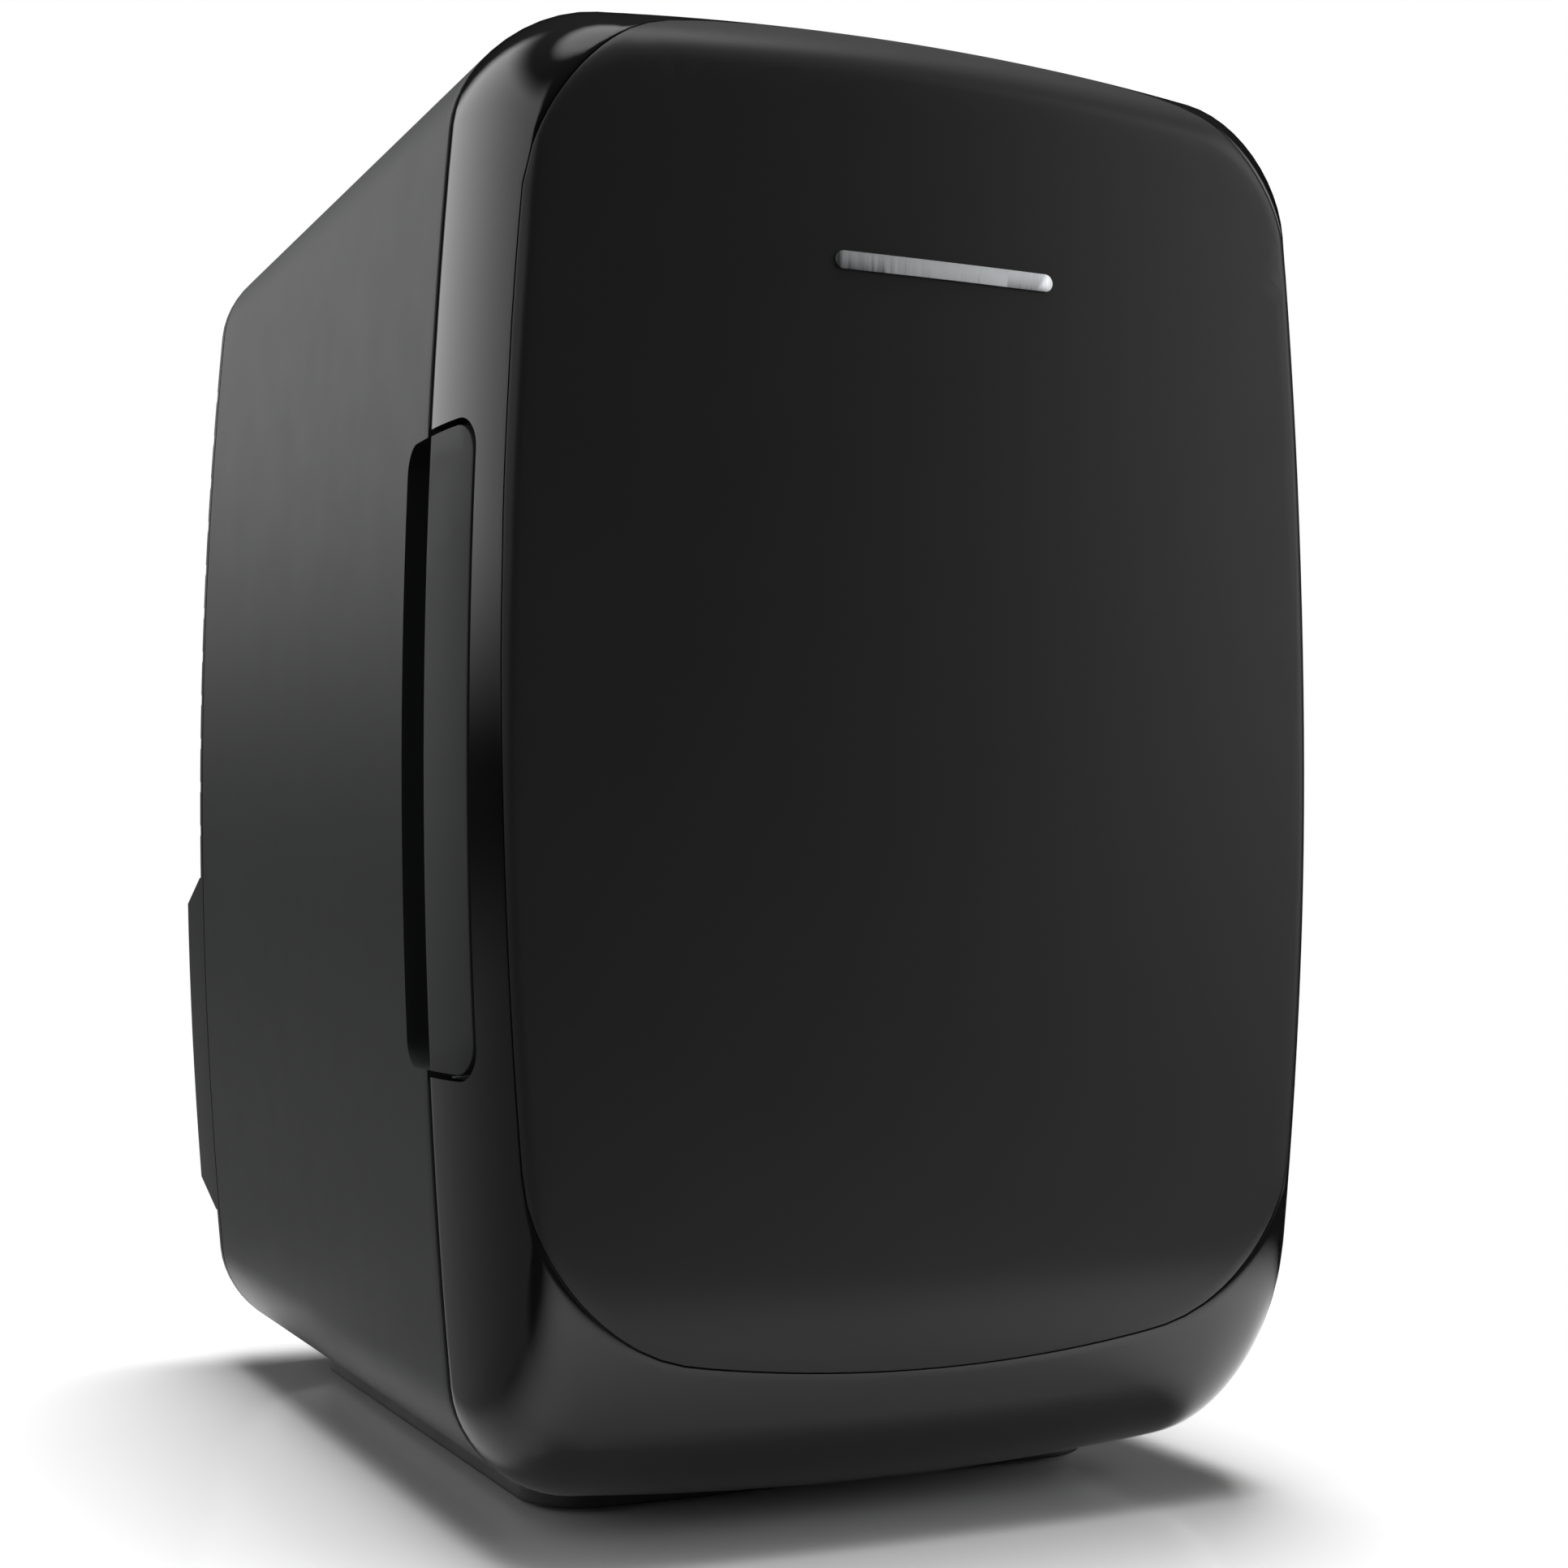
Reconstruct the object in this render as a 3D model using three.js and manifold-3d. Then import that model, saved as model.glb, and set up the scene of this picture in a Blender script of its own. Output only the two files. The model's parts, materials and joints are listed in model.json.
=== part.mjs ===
// A thermoelectric mini fridge: bowed cabinet, rolled glossy door on a side hinge, louvred back with a
// service hump. Millimetres, +Z up, +X to the right of someone facing the door, +Y towards the back.
// The origin is the centre of the bounding box at floor level.
// The pieces are laid out from the seam plane between door and cabinet (y = 0) and from the lowest line
// of the cabinet (z = 0). The assembly is moved to its origin at the end.
import * as THREE from "three";
import { mergeVertices } from "three/addons/utils/BufferGeometryUtils.js";
import Module from "manifold-3d";

const wasm = await Module();
wasm.setup();

// ---------------------------------------------------------------- driving dimensions
const BODY = { height: 270, halfWidth: 80.2, corner: 19, bowSide: 7.1, bowEnd: 4.7 };
const MID_Z = BODY.height / 2;
const CABINET_DEPTH = 189; // seam plane to the flat of the back
const FLOOR_Z = -5; // the floor, below the lowest line of the cabinet
const SEAM = 0.75; // half the gap between door and cabinet
const FIT = 0.3; // gap left between neighbouring pieces
const SHELL_WALL = 2.4;

const DOOR = { edge: 27.1, crownX: 4.6, crownZ: 0.8, rollSide: 7.9, rollTop: 15.3, rollBottom: 45 };
DOOR.wall = 3;
DOOR.liner = 2.4; // thickness of the inner door's plate
DOOR.pocket = 1.8; // depth of the seat for the front panel
DOOR.panel = 1.5; // thickness of the front panel
const PANEL = { halfWidth: 74.9, halfHeight: 111.3, corner: 27.5, bowSide: 6.6, bowEnd: 9.5, midZ: 146.2 };
PANEL.reveal = 0.25; // groove between panel and bezel
PANEL.ledge = 6; // width of the ledge under the panel's edge

const GRIP = { z0: 79.5, z1: 191, depth: 19, corner: 6, reveal: 0.6, wall: 4, lip: 2.6 };
const RECESS = { z0: 79.5, z1: 191, depth: 12.5, reach: 10, corner: 5, wall: 1.8 };

const LINER = { halfWidth: 67, z0: 24, z1: 246, depth: 135, wall: 2, corner: 10 };
const RAIL = { z: 145, height: 3, reach: 4, y0: 14, y1: 128 };
const SHELF = { thick: 2.6, lip: 5, slots: 7, slotWidth: 6, border: 9, side: 1.2, corner: 5, margin: 10 };
SHELF.lipThick = 2;
const FRAME_THICK = 2.4;
const FOAM_BACK = 149;

const COLD = { plateHalf: 50, plateHeight: 120, plateThick: 1.8, blockHalf: 20, hole: 22, peltier: 3.6 };
COLD.screw = 9; // length of the plate's screws
COLD.pilot = 1.6;
COLD.clear = 1.9;
COLD.corner = 5;
const COLD_SCREW_X = 43;
const SINK = { halfWidth: 50, halfHeight: 45, base: 3.6, fin: 1.5, fins: 14, depth: 14.4 };
const FAN = { size: 80, depth: 15, bore: 38, hub: 16, blades: 7, tip: 36.3, screw: 35.75, shaft: 1.5 };
FAN.arm = { thick: 3, halfWidth: 1.5, overlap: 0.8 };
FAN.blade = { thick: 1.3, chord: 12.5, root: 1.5, pitch: Math.PI / 4.6 };
const VENT_Z = 178.5; // height of the cooling unit and of the middle louvre
const LOUVRE = { count: 11, pitch: 10.6, depth: 1.7, width: 5, floor: 2.2, over: 0.5 };
const VENT = { centre: 38, sideFrom: 46, sideTo: 68, slot: 2 };

const COVER_WALL = 3.4;
const HUMP = { z0: 33, z1: 114, slope: 7, proud: 16, wall: 2.4 };
const COVER_SCREW = { x: 70.5, z: 120.5, boss: 5, bossDepth: 16, pilot: 1.5, pilotDepth: 13, hole: 1.9 };
COVER_SCREW.seat = { radius: 3.4, depth: 1.6 };
const COVER_LIP = { depth: 4, thick: 1.5 };

const PLINTH = { halfWidth: 61, y0: 12, y1: 176, corner: 14, lift: 1, foot: 8, pad: 3 };
PLINTH.well = { halfWidth: 34, border: 14, corner: 6, depth: 2 };
const FOOT_AT = [
  ["front_left", -47, 30],
  ["front_right", 47, 30],
  ["rear_left", -47, 158],
  ["rear_right", 47, 158],
];

const HINGE = { inset: 3.2, halfLength: 50, mid: 26, barrel: 3, pin: 1.5, bore: 1.6, leaf: 1.2, width: 9.6 };
HINGE.x = BODY.halfWidth + BODY.bowSide - HINGE.inset;
HINGE.head = 0.5; // thickness of a leaf screw's head
HINGE.sink = 0.8; // depth of the seat for a leaf screw's head
HINGE.pilot = 1.3;
HINGE.hole = 1.4;
HINGE.seat = 2.3;
HINGE.screwIn = 12; // from a leaf's end to its outer screw
HINGE.screwX = 3.4; // from a leaf's free edge to its screws
const LEAF_PILOT_DEPTH = { cabinet: 7.4, door: 6.15 };
const DOOR_LEAF_SPREAD = 22; // the door leaf's screws stand this much nearer its middle
const LEAF_SCREW = { shank: 1, head: 2, cabinet: 5.4, door: 4 };
const KNUCKLE_GAP = 0.4;
HINGE.reliefRatio = 1.8; // clears the door's inner corner up to 110 degrees

const GASKET = { inner: 68.2, outer: 73.2, z0: 21.8, z1: 248.2, seat: 2, proud: 0.45 };
GASKET.cornerOut = 14.7;
GASKET.cornerIn = 10;
const PAN = { halfWidth: 60, z0: 38, z1: 232, depth: 15, corner: 8, wall: 2 };
const BIN = { halfWidth: 57, z0: 42, z1: 98, wall: 1.8, front: 0.6 };
const MAGNET = { x0: -80.2, x1: -75.6, length: 26, thick: 2, z: [46, 200] };
const BADGE = { halfWidth: 22, height: 3.2, z: 222, proud: 0.45 };

const SERVICE_Z = (HUMP.z0 + HUMP.z1) / 2;
const MAINS = { x: -46, halfWidth: 10.5, halfHeight: 7, mouth: 7.6, mouthR: 3.9, pin: 1.15, pinX: 4.3 };
const LOWVOLT = { x: -12, halfWidth: 11.5, halfHeight: 8, mouthX: 8.2, mouthZ: 4.6, pinX: 5.4 };
const INLET = { flange: 1, border: 2.2, length: 17, socket: 12, pinStart: 3.2, corner: 2 };
INLET.pinShort = 2.5; // from the mouth to the pins' tips
const ROCKER = { x: 24, halfWidth: 5.6, halfHeight: 9.4, clear: 0.5, depth: 8, pivot: 5.2, wall: 2 };
ROCKER.rim = 1.6; // how far the housing's flange reaches past its body
ROCKER.barrel = 4.2; // radius of the paddle's round back
ROCKER.axle = 1.2;
ROCKER.dip = 1.6; // depth of the paddle's V
const LAMP = { x: [43, 52], radius: 2, length: 5, proud: 0.6 };
const BOARD = { x: 20, halfWidth: 34, halfHeight: 24, y: 181, thick: 1.6 };
const TRANSFORMER = {
  x: 1,
  core: { halfWidth: 13, halfHeight: 14, from: 17, to: 0 },
  coil: { halfWidth: 9, halfHeight: 10, from: 20, to: 2 },
};
const CAPACITOR = { x: [26, 42], z: 12, radius: 6, height: 18 };

// ---------------------------------------------------------------- solids
// A three.js geometry as a manifold solid, its shared corners merged.
function solid(geometry) {
  const bare = geometry.index ? geometry.clone() : mergeVertices(geometry.clone());
  bare.deleteAttribute("normal");
  bare.deleteAttribute("uv");
  const merged = mergeVertices(bare, 1e-3);
  const vertProperties = new Float32Array(merged.attributes.position.array);
  const triVerts = new Uint32Array(merged.index.array);
  const made = new wasm.Manifold(new wasm.Mesh({ numProp: 3, vertProperties, triVerts }));
  if (made.volume() > 0) return made;
  for (let i = 0; i < triVerts.length; i += 3) {
    [triVerts[i + 1], triVerts[i + 2]] = [triVerts[i + 2], triVerts[i + 1]];
  }
  return new wasm.Manifold(new wasm.Mesh({ numProp: 3, vertProperties, triVerts }));
}

// A named mesh from a manifold solid.
function piece(name, made, look) {
  const mesh = made.getMesh();
  const geometry = new THREE.BufferGeometry();
  geometry.setAttribute("position", new THREE.BufferAttribute(new Float32Array(mesh.vertProperties), 3));
  geometry.setIndex(new THREE.BufferAttribute(new Uint32Array(mesh.triVerts), 1));
  geometry.computeVertexNormals();
  const [color, roughness, metalness] = look;
  const out = new THREE.Mesh(geometry, new THREE.MeshStandardMaterial({ color, roughness, metalness }));
  out.name = name;
  return out;
}

const LOOK = {
  satin: [0x4b4b4b, 0.5, 0],
  piano: [0x141414, 0.12, 0],
  panel: [0x1d1d1d, 0.25, 0],
  grip: [0x484848, 0.65, 0],
  black: [0x161616, 0.6, 0],
  light: [0xd8d8d6, 0.45, 0],
  foam: [0xe6dcb4, 0.9, 0],
  rubber: [0x101010, 0.9, 0],
  aluminium: [0xb4b7ba, 0.4, 1],
  steel: [0x9a9c9e, 0.35, 1],
  ceramic: [0xe9e8e2, 0.5, 0],
  board: [0x1f5a34, 0.5, 0],
  clear: [0xdfe8ec, 0.1, 0],
};

// A box between two corners.
function box(x0, x1, y0, y1, z0, z1) {
  const geometry = new THREE.BoxGeometry(x1 - x0, y1 - y0, z1 - z0);
  return solid(geometry.translate((x0 + x1) / 2, (y0 + y1) / 2, (z0 + z1) / 2));
}

const extruded = (shape, depth) =>
  new THREE.ExtrudeGeometry(shape, { depth, bevelEnabled: false, curveSegments: 4 });

// A flat shape drawn in x and z, carried from y0 to y1.
function alongY(shape, y0, y1) {
  const geometry = extruded(shape, y1 - y0);
  return solid(geometry.rotateX(Math.PI / 2).translate(0, y1, 0));
}

// A flat shape drawn in y and z, carried from x0 to x1.
function alongX(shape, x0, x1) {
  const geometry = extruded(shape, x1 - x0);
  return solid(geometry.rotateZ(Math.PI / 2).rotateY(Math.PI / 2).translate(x0, 0, 0));
}

// A flat shape drawn in x and y, carried from z0 to z1.
function alongZ(shape, z0, z1) {
  const geometry = extruded(shape, z1 - z0);
  return solid(geometry.translate(0, 0, z0));
}

// Round bars along each axis.
function rodY(radius, y0, y1, x, z, sides = 12) {
  const geometry = new THREE.CylinderGeometry(radius, radius, y1 - y0, sides);
  return solid(geometry.translate(x, (y0 + y1) / 2, z));
}

function rodZ(radius, z0, z1, x, y, sides = 12) {
  const geometry = new THREE.CylinderGeometry(radius, radius, z1 - z0, sides);
  return solid(geometry.rotateX(Math.PI / 2).translate(x, y, (z0 + z1) / 2));
}

function rodX(radius, x0, x1, y, z, sides = 12) {
  const geometry = new THREE.CylinderGeometry(radius, radius, x1 - x0, sides);
  return solid(geometry.rotateZ(Math.PI / 2).translate((x0 + x1) / 2, y, z));
}

// A rectangle with round corners, as a shape.
function rounded(x0, x1, z0, z1, radius) {
  const shape = new THREE.Shape();
  shape.moveTo(x1 - radius, z0);
  shape.absarc(x1 - radius, z0 + radius, radius, -Math.PI / 2, 0);
  shape.absarc(x1 - radius, z1 - radius, radius, 0, Math.PI / 2);
  shape.absarc(x0 + radius, z1 - radius, radius, Math.PI / 2, Math.PI);
  shape.absarc(x0 + radius, z0 + radius, radius, Math.PI, Math.PI * 1.5);
  return shape;
}

// A union of several solids, and one solid with several cut from it.
const join = (...all) => all.reduce((sum, next) => sum.add(next));
const cut = (base, ...all) => all.reduce((rest, next) => rest.subtract(next), base);

// ---------------------------------------------------------------- the bowed outline
const SIDE_STEPS = 6;
const CORNER_STEPS = 4;

// Points of a round-cornered rectangle centred on zero whose four sides bow out.
function bowedPoints({ halfWidth, halfHeight, corner, bowSide, bowEnd }) {
  const flat = [];
  const cx = halfWidth - corner;
  const cz = halfHeight - corner;
  const quarter = [[cx, cz, 0], [-cx, cz, 1], [-cx, -cz, 2], [cx, -cz, 3]];
  quarter.forEach(([x, z, turn], index) => {
    for (let i = 0; i <= CORNER_STEPS; i++) {
      const angle = ((turn + i / CORNER_STEPS) * Math.PI) / 2;
      flat.push([x + corner * Math.cos(angle), z + corner * Math.sin(angle)]);
    }
    const [fromX, fromZ] = flat[flat.length - 1];
    const [nextX, nextZ, nextTurn] = quarter[(index + 1) % quarter.length];
    const toX = nextX + corner * Math.cos((nextTurn * Math.PI) / 2);
    const toZ = nextZ + corner * Math.sin((nextTurn * Math.PI) / 2);
    for (let i = 1; i < SIDE_STEPS; i++) {
      const along = i / SIDE_STEPS;
      flat.push([fromX + (toX - fromX) * along, fromZ + (toZ - fromZ) * along]);
    }
  });
  return flat.map(([x, z]) => [
    x * (1 + (bowSide / halfWidth) * (1 - (z / halfHeight) ** 2)),
    z * (1 + (bowEnd / halfHeight) * (1 - (x / halfWidth) ** 2)),
  ]);
}

// The body's outline, moved inwards by an inset.
function bodyPoints(inset = 0) {
  return bowedPoints({
    halfWidth: BODY.halfWidth - inset,
    halfHeight: MID_Z - BODY.bowEnd - inset,
    corner: BODY.corner - inset,
    bowSide: BODY.bowSide,
    bowEnd: BODY.bowEnd,
  });
}

const shapeOf = (points, midZ) => new THREE.Shape(points.map(([x, z]) => new THREE.Vector2(x, z + midZ)));
const bodyBlock = (inset, y0, y1) => alongY(shapeOf(bodyPoints(inset), MID_Z), y0, y1);

// The body's half width at a height.
function bodyEdge(z) {
  const halfHeight = MID_Z - BODY.bowEnd;
  return BODY.halfWidth + BODY.bowSide * (1 - ((z - MID_Z) / halfHeight) ** 2);
}

// ---------------------------------------------------------------- hinge geometry shared by both sides
// A spindle round the hinge axis, fattest where the body bows out most. Cut from both edges of the seam,
// it lets the door's inner corner pass the cabinet as the door turns.
function hingeRelief() {
  const steps = 12;
  const reach = BODY.height / 2 - BODY.corner;
  const profile = [];
  for (let i = 0; i <= steps; i++) {
    const z = MID_Z - reach + (2 * reach * i) / steps;
    const over = Math.max(0, bodyEdge(z) - HINGE.x + 2 * FIT);
    profile.push(new THREE.Vector2(i % steps === 0 ? 0 : HINGE.reliefRatio * over + FIT, z));
  }
  const geometry = new THREE.LatheGeometry(profile, 24).rotateX(Math.PI / 2);
  return solid(geometry.translate(HINGE.x, 0, 0));
}
const relief = hingeRelief();

// ---------------------------------------------------------------- cabinet
const shellBack = CABINET_DEPTH - COVER_WALL - FIT;
const recessInner = -(BODY.halfWidth + BODY.bowSide - RECESS.reach);
const hingeBlock = { x0: 74.2, y1: 8, z0: 56, z1: 214 };

// The solid block round the finger recess, grown by a gap where a neighbour has to clear it.
function recessBlock(grow = 0) {
  const w = RECESS.wall + grow;
  return box(-BODY.halfWidth * 2, recessInner + w, 0, RECESS.depth + w, RECESS.z0 - w, RECESS.z1 + w);
}

function hingeSeat(grow = 0) {
  const { x0, y1, z0, z1 } = hingeBlock;
  return box(x0 - grow, BODY.halfWidth * 2, 0, y1 + grow, z0 - grow, z1 + grow);
}

// The four posts that take the back cover's screws.
const atCorners = (x, z, midZ) => [-1, 1].flatMap((sx) => [-1, 1].map((sz) => [sx * x, midZ + sz * z]));
const coverScrewAt = atCorners(COVER_SCREW.x, COVER_SCREW.z, MID_Z);

function cabinetShell() {
  const outer = bodyBlock(0, SEAM, shellBack);
  const posts = coverScrewAt.map(([x, z]) =>
    rodY(COVER_SCREW.boss, shellBack - COVER_SCREW.bossDepth, shellBack, x, z, 16),
  );
  const pilots = coverScrewAt.map(([x, z]) =>
    rodY(COVER_SCREW.pilot, shellBack - COVER_SCREW.pilotDepth, shellBack + 1, x, z, 10),
  );
  const mouth = new THREE.Shape();
  mouth.moveTo(-1, RECESS.z0);
  mouth.lineTo(RECESS.depth - RECESS.corner, RECESS.z0);
  mouth.absarc(RECESS.depth - RECESS.corner, RECESS.z0 + RECESS.corner, RECESS.corner, -Math.PI / 2, 0);
  mouth.absarc(RECESS.depth - RECESS.corner, RECESS.z1 - RECESS.corner, RECESS.corner, 0, Math.PI / 2);
  mouth.lineTo(-1, RECESS.z1);
  const hollow = bodyBlock(SHELL_WALL, SEAM - 1, shellBack + 1);
  const blocks = join(recessBlock(), hingeSeat()).intersect(outer);
  const leafSeat = box(
    HINGE.x - HINGE.width - FIT, HINGE.x, 0, SEAM + HINGE.leaf + FIT,
    MID_Z - HINGE.halfLength - FIT, MID_Z + HINGE.halfLength + FIT,
  );
  const leafPilots = leafScrewZ(0).map((z) =>
    rodY(HINGE.pilot, 0, LEAF_PILOT_DEPTH.cabinet, leafScrewX, z, 10),
  );
  return cut(
    join(cut(outer, hollow), blocks, ...posts),
    alongX(mouth, -BODY.halfWidth * 2, recessInner),
    relief,
    leafSeat,
    ...leafPilots,
    ...pilots,
  );
}

// The ring that joins the shell to the liner at the front.
function frontFrame() {
  const outer = bodyBlock(SHELL_WALL + FIT, SEAM, SEAM + FRAME_THICK);
  const { halfWidth, z0, z1, wall, corner } = LINER;
  const w = wall + FIT;
  const doorway = rounded(-halfWidth - w, halfWidth + w, z0 - w, z1 + w, corner + w);
  const window = alongY(doorway, 0, 2 * FRAME_THICK);
  const seats = MAGNET.z.map((z) =>
    box(MAGNET.x0 - FIT, MAGNET.x1 + FIT, 0, SEAM + MAGNET.thick / 2 + FIT, z - FIT, z + MAGNET.length + FIT),
  );
  return cut(outer, window, recessBlock(FIT), hingeSeat(FIT), ...seats);
}

const strikePlate = (z) => box(MAGNET.x0, MAGNET.x1, SEAM, SEAM + MAGNET.thick / 2, z, z + MAGNET.length);

// The opening behind the cold plate, and a pair of holes for the plate's screws.
const coldPort = (y0, y1) => box(-COLD.hole, COLD.hole, y0, y1, VENT_Z - COLD.hole, VENT_Z + COLD.hole);
const coldHoles = (radius, y0, y1) =>
  [-1, 1].map((side) => rodY(radius, y0, y1, side * COLD_SCREW_X, VENT_Z, 12));

// The food liner with a pair of rails for the shelf.
function innerLiner() {
  const { halfWidth, z0, z1, depth, wall, corner } = LINER;
  const outside = rounded(-halfWidth - wall, halfWidth + wall, z0 - wall, z1 + wall, corner + wall);
  const inside = rounded(-halfWidth, halfWidth, z0, z1, corner);
  const rail = (side) =>
    box(
      Math.min(side * (halfWidth + 1), side * (halfWidth - RAIL.reach)),
      Math.max(side * (halfWidth + 1), side * (halfWidth - RAIL.reach)),
      RAIL.y0, RAIL.y1, RAIL.z, RAIL.z + RAIL.height,
    );
  const shell = cut(alongY(outside, SEAM, depth + wall), alongY(inside, 0, depth));
  const port = coldPort(depth - 1, depth + wall + 1);
  const pilots = coldHoles(COLD.pilot, depth - 1, depth + wall + 1);
  return cut(join(shell, rail(-1), rail(1)), port, ...pilots);
}

function shelf() {
  const half = LINER.halfWidth - SHELF.side;
  const shape = rounded(-half, half, RAIL.y0, RAIL.y1, SHELF.corner);
  const span = (2 * (half - SHELF.border)) / SHELF.slots;
  const z = RAIL.z + RAIL.height + FIT;
  const slots = Array.from({ length: SHELF.slots }, (_, i) => {
    const middle = -half + SHELF.border + span * (i + 0.5);
    const edge = SHELF.slotWidth / 2;
    const [from, to] = [RAIL.y0 + SHELF.margin, RAIL.y1 - SHELF.margin];
    return box(middle - edge, middle + edge, from, to, z - 1, z + SHELF.thick + 1);
  });
  const lipHalf = half - SHELF.corner;
  const lip = box(-lipHalf, lipHalf, RAIL.y0, RAIL.y0 + SHELF.lipThick, z, z + SHELF.thick + SHELF.lip);
  return cut(join(alongZ(shape, z, z + SHELF.thick), lip), ...slots);
}

// Foam poured between shell and liner, with the back slab behind the liner.
function foamInsulation() {
  const { halfWidth, z0, z1, depth, wall, corner } = LINER;
  const w = wall + FIT;
  const block = bodyBlock(SHELL_WALL + FIT, SEAM + FRAME_THICK + FIT, FOAM_BACK);
  const core = rounded(-halfWidth - w, halfWidth + w, z0 - w, z1 + w, corner + w);
  const port = coldPort(depth, FOAM_BACK + 1);
  const screws = coldHoles(COLD.pilot, depth, depth + COLD.screw);
  return cut(block, alongY(core, 0, depth + w), port, recessBlock(FIT), hingeSeat(FIT), ...screws);
}

// ---------------------------------------------------------------- plinth and feet
function basePlinth() {
  const bottom = FLOOR_Z + PLINTH.lift;
  const slab = alongZ(
    rounded(-PLINTH.halfWidth, PLINTH.halfWidth, PLINTH.y0, PLINTH.y1, PLINTH.corner), bottom, BODY.bowEnd,
  );
  const pockets = FOOT_AT.map(([, x, y]) =>
    rodZ(PLINTH.foot + FIT, bottom - 1, FLOOR_Z + PLINTH.pad + FIT, x, y, 20),
  );
  const { halfWidth, border, corner, depth } = PLINTH.well;
  const wellShape = rounded(-halfWidth, halfWidth, PLINTH.y0 + border, PLINTH.y1 - border, corner);
  const well = alongZ(wellShape, bottom - 1, bottom + depth);
  return cut(slab, bodyBlock(-FIT, -10, CABINET_DEPTH + 10), well, ...pockets);
}

const foot = (x, y) => rodZ(PLINTH.foot, FLOOR_Z, FLOOR_Z + PLINTH.pad, x, y, 20);

// ---------------------------------------------------------------- cooling unit
const coldFace = LINER.depth;
const blockBack = FOAM_BACK + 2.4;
const peltierBack = blockBack + FIT + COLD.peltier;
const sinkFront = peltierBack + FIT;
const sinkBack = sinkFront + SINK.depth;
const fanFront = sinkBack + FIT;
const fanBack = fanFront + FAN.depth;

function coldPlate() {
  const back = coldFace - FIT;
  const z0 = VENT_Z - COLD.plateHeight / 2;
  const shape = rounded(-COLD.plateHalf, COLD.plateHalf, z0, z0 + COLD.plateHeight, COLD.corner);
  const holes = coldHoles(COLD.clear, 0, back + 1);
  return cut(alongY(shape, back - COLD.plateThick, back), ...holes);
}

function coldBlock() {
  const half = COLD.blockHalf;
  return box(-half, half, coldFace, blockBack, VENT_Z - half, VENT_Z + half);
}

function peltierModule() {
  const half = COLD.blockHalf - 0.5;
  return box(-half, half, blockBack + FIT, peltierBack, VENT_Z - half, VENT_Z + half);
}

// An extruded comb: a base with upright fins towards the fan.
function heatSink() {
  const { halfWidth, base, fin, fins } = SINK;
  const comb = new THREE.Shape();
  const pitch = (2 * halfWidth - fin) / (fins - 1);
  comb.moveTo(-halfWidth, sinkFront);
  comb.lineTo(halfWidth, sinkFront);
  for (let i = fins - 1; i >= 0; i--) {
    const x = -halfWidth + pitch * i;
    if (i < fins - 1) comb.lineTo(x + fin, sinkFront + base);
    comb.lineTo(x + fin, sinkBack);
    comb.lineTo(x, sinkBack);
    if (i > 0) comb.lineTo(x, sinkFront + base);
  }
  return alongZ(comb, VENT_Z - SINK.halfHeight, VENT_Z + SINK.halfHeight);
}

const fanScrewAt = atCorners(FAN.screw, FAN.screw, VENT_Z);

// The square fan housing, with four arms that hold the rotor's bearing at the back.
function fanFrame() {
  const half = FAN.size / 2;
  const square = rounded(-half, half, VENT_Z - half, VENT_Z + half, 5);
  const bore = rodY(FAN.bore, fanFront - 1, fanBack + 1, 0, VENT_Z, 32);
  const body = cut(alongY(square, fanFront, fanBack), bore);
  const { thick, halfWidth, overlap } = FAN.arm;
  const armY = fanBack - thick;
  const armEnd = FAN.bore + overlap;
  const arms = [
    box(-armEnd, armEnd, armY, fanBack, VENT_Z - halfWidth, VENT_Z + halfWidth),
    box(-halfWidth, halfWidth, armY, fanBack, VENT_Z - armEnd, VENT_Z + armEnd),
  ];
  const hub = rodY(FAN.hub - 1, armY, fanBack, 0, VENT_Z, 20);
  const bearing = rodY(FAN.shaft + 0.1, armY - 1, fanBack - 0.8, 0, VENT_Z, 24);
  const holes = fanScrewAt.flatMap(([x, z]) => [
    rodY(2.1, fanFront - 1, fanBack + 1, x, z, 10),
    rodY(3.4, fanFront - 1, fanFront + 1.6, x, z, 14),
  ]);
  return cut(join(body, ...arms, hub), bearing, ...holes);
}

// Hub, shaft and pitched blades, turning about a y axis through the vent's middle.
function fanRotor() {
  const front = fanFront + 1;
  const back = fanBack - 3.6;
  const blades = Array.from({ length: FAN.blades }, (_, i) => {
    const { thick, chord, root, pitch } = FAN.blade;
    const length = FAN.tip - FAN.hub + root;
    const blade = new THREE.BoxGeometry(thick, chord, length);
    blade.translate(0, 0, FAN.hub + length / 2 - root).rotateZ(pitch);
    return solid(blade.rotateY((2 * Math.PI * i) / FAN.blades).translate(0, (front + back) / 2, VENT_Z));
  });
  const reach = rodY(FAN.tip, front, back, 0, VENT_Z, 32);
  const hub = rodY(FAN.hub, front, back, 0, VENT_Z, 20);
  return join(join(...blades).intersect(reach), hub, rodY(FAN.shaft, back - 1, fanBack - 1, 0, VENT_Z, 24));
}

// ---------------------------------------------------------------- back cover
const humpBack = CABINET_DEPTH + HUMP.proud;

// The service hump across the back, as a profile in y and z, with an inset for its inside.
function humpProfile(inset) {
  const shape = new THREE.Shape();
  shape.moveTo(CABINET_DEPTH - 2 * inset - 2, HUMP.z0 + inset);
  shape.lineTo(CABINET_DEPTH, HUMP.z0 + inset);
  shape.lineTo(humpBack - inset, HUMP.z0 + HUMP.slope + inset);
  shape.lineTo(humpBack - inset, HUMP.z1 - HUMP.slope - inset);
  shape.lineTo(CABINET_DEPTH, HUMP.z1 - inset);
  shape.lineTo(CABINET_DEPTH - 2 * inset - 2, HUMP.z1 - inset);
  return alongX(shape, -BODY.halfWidth * 2, BODY.halfWidth * 2);
}

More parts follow.
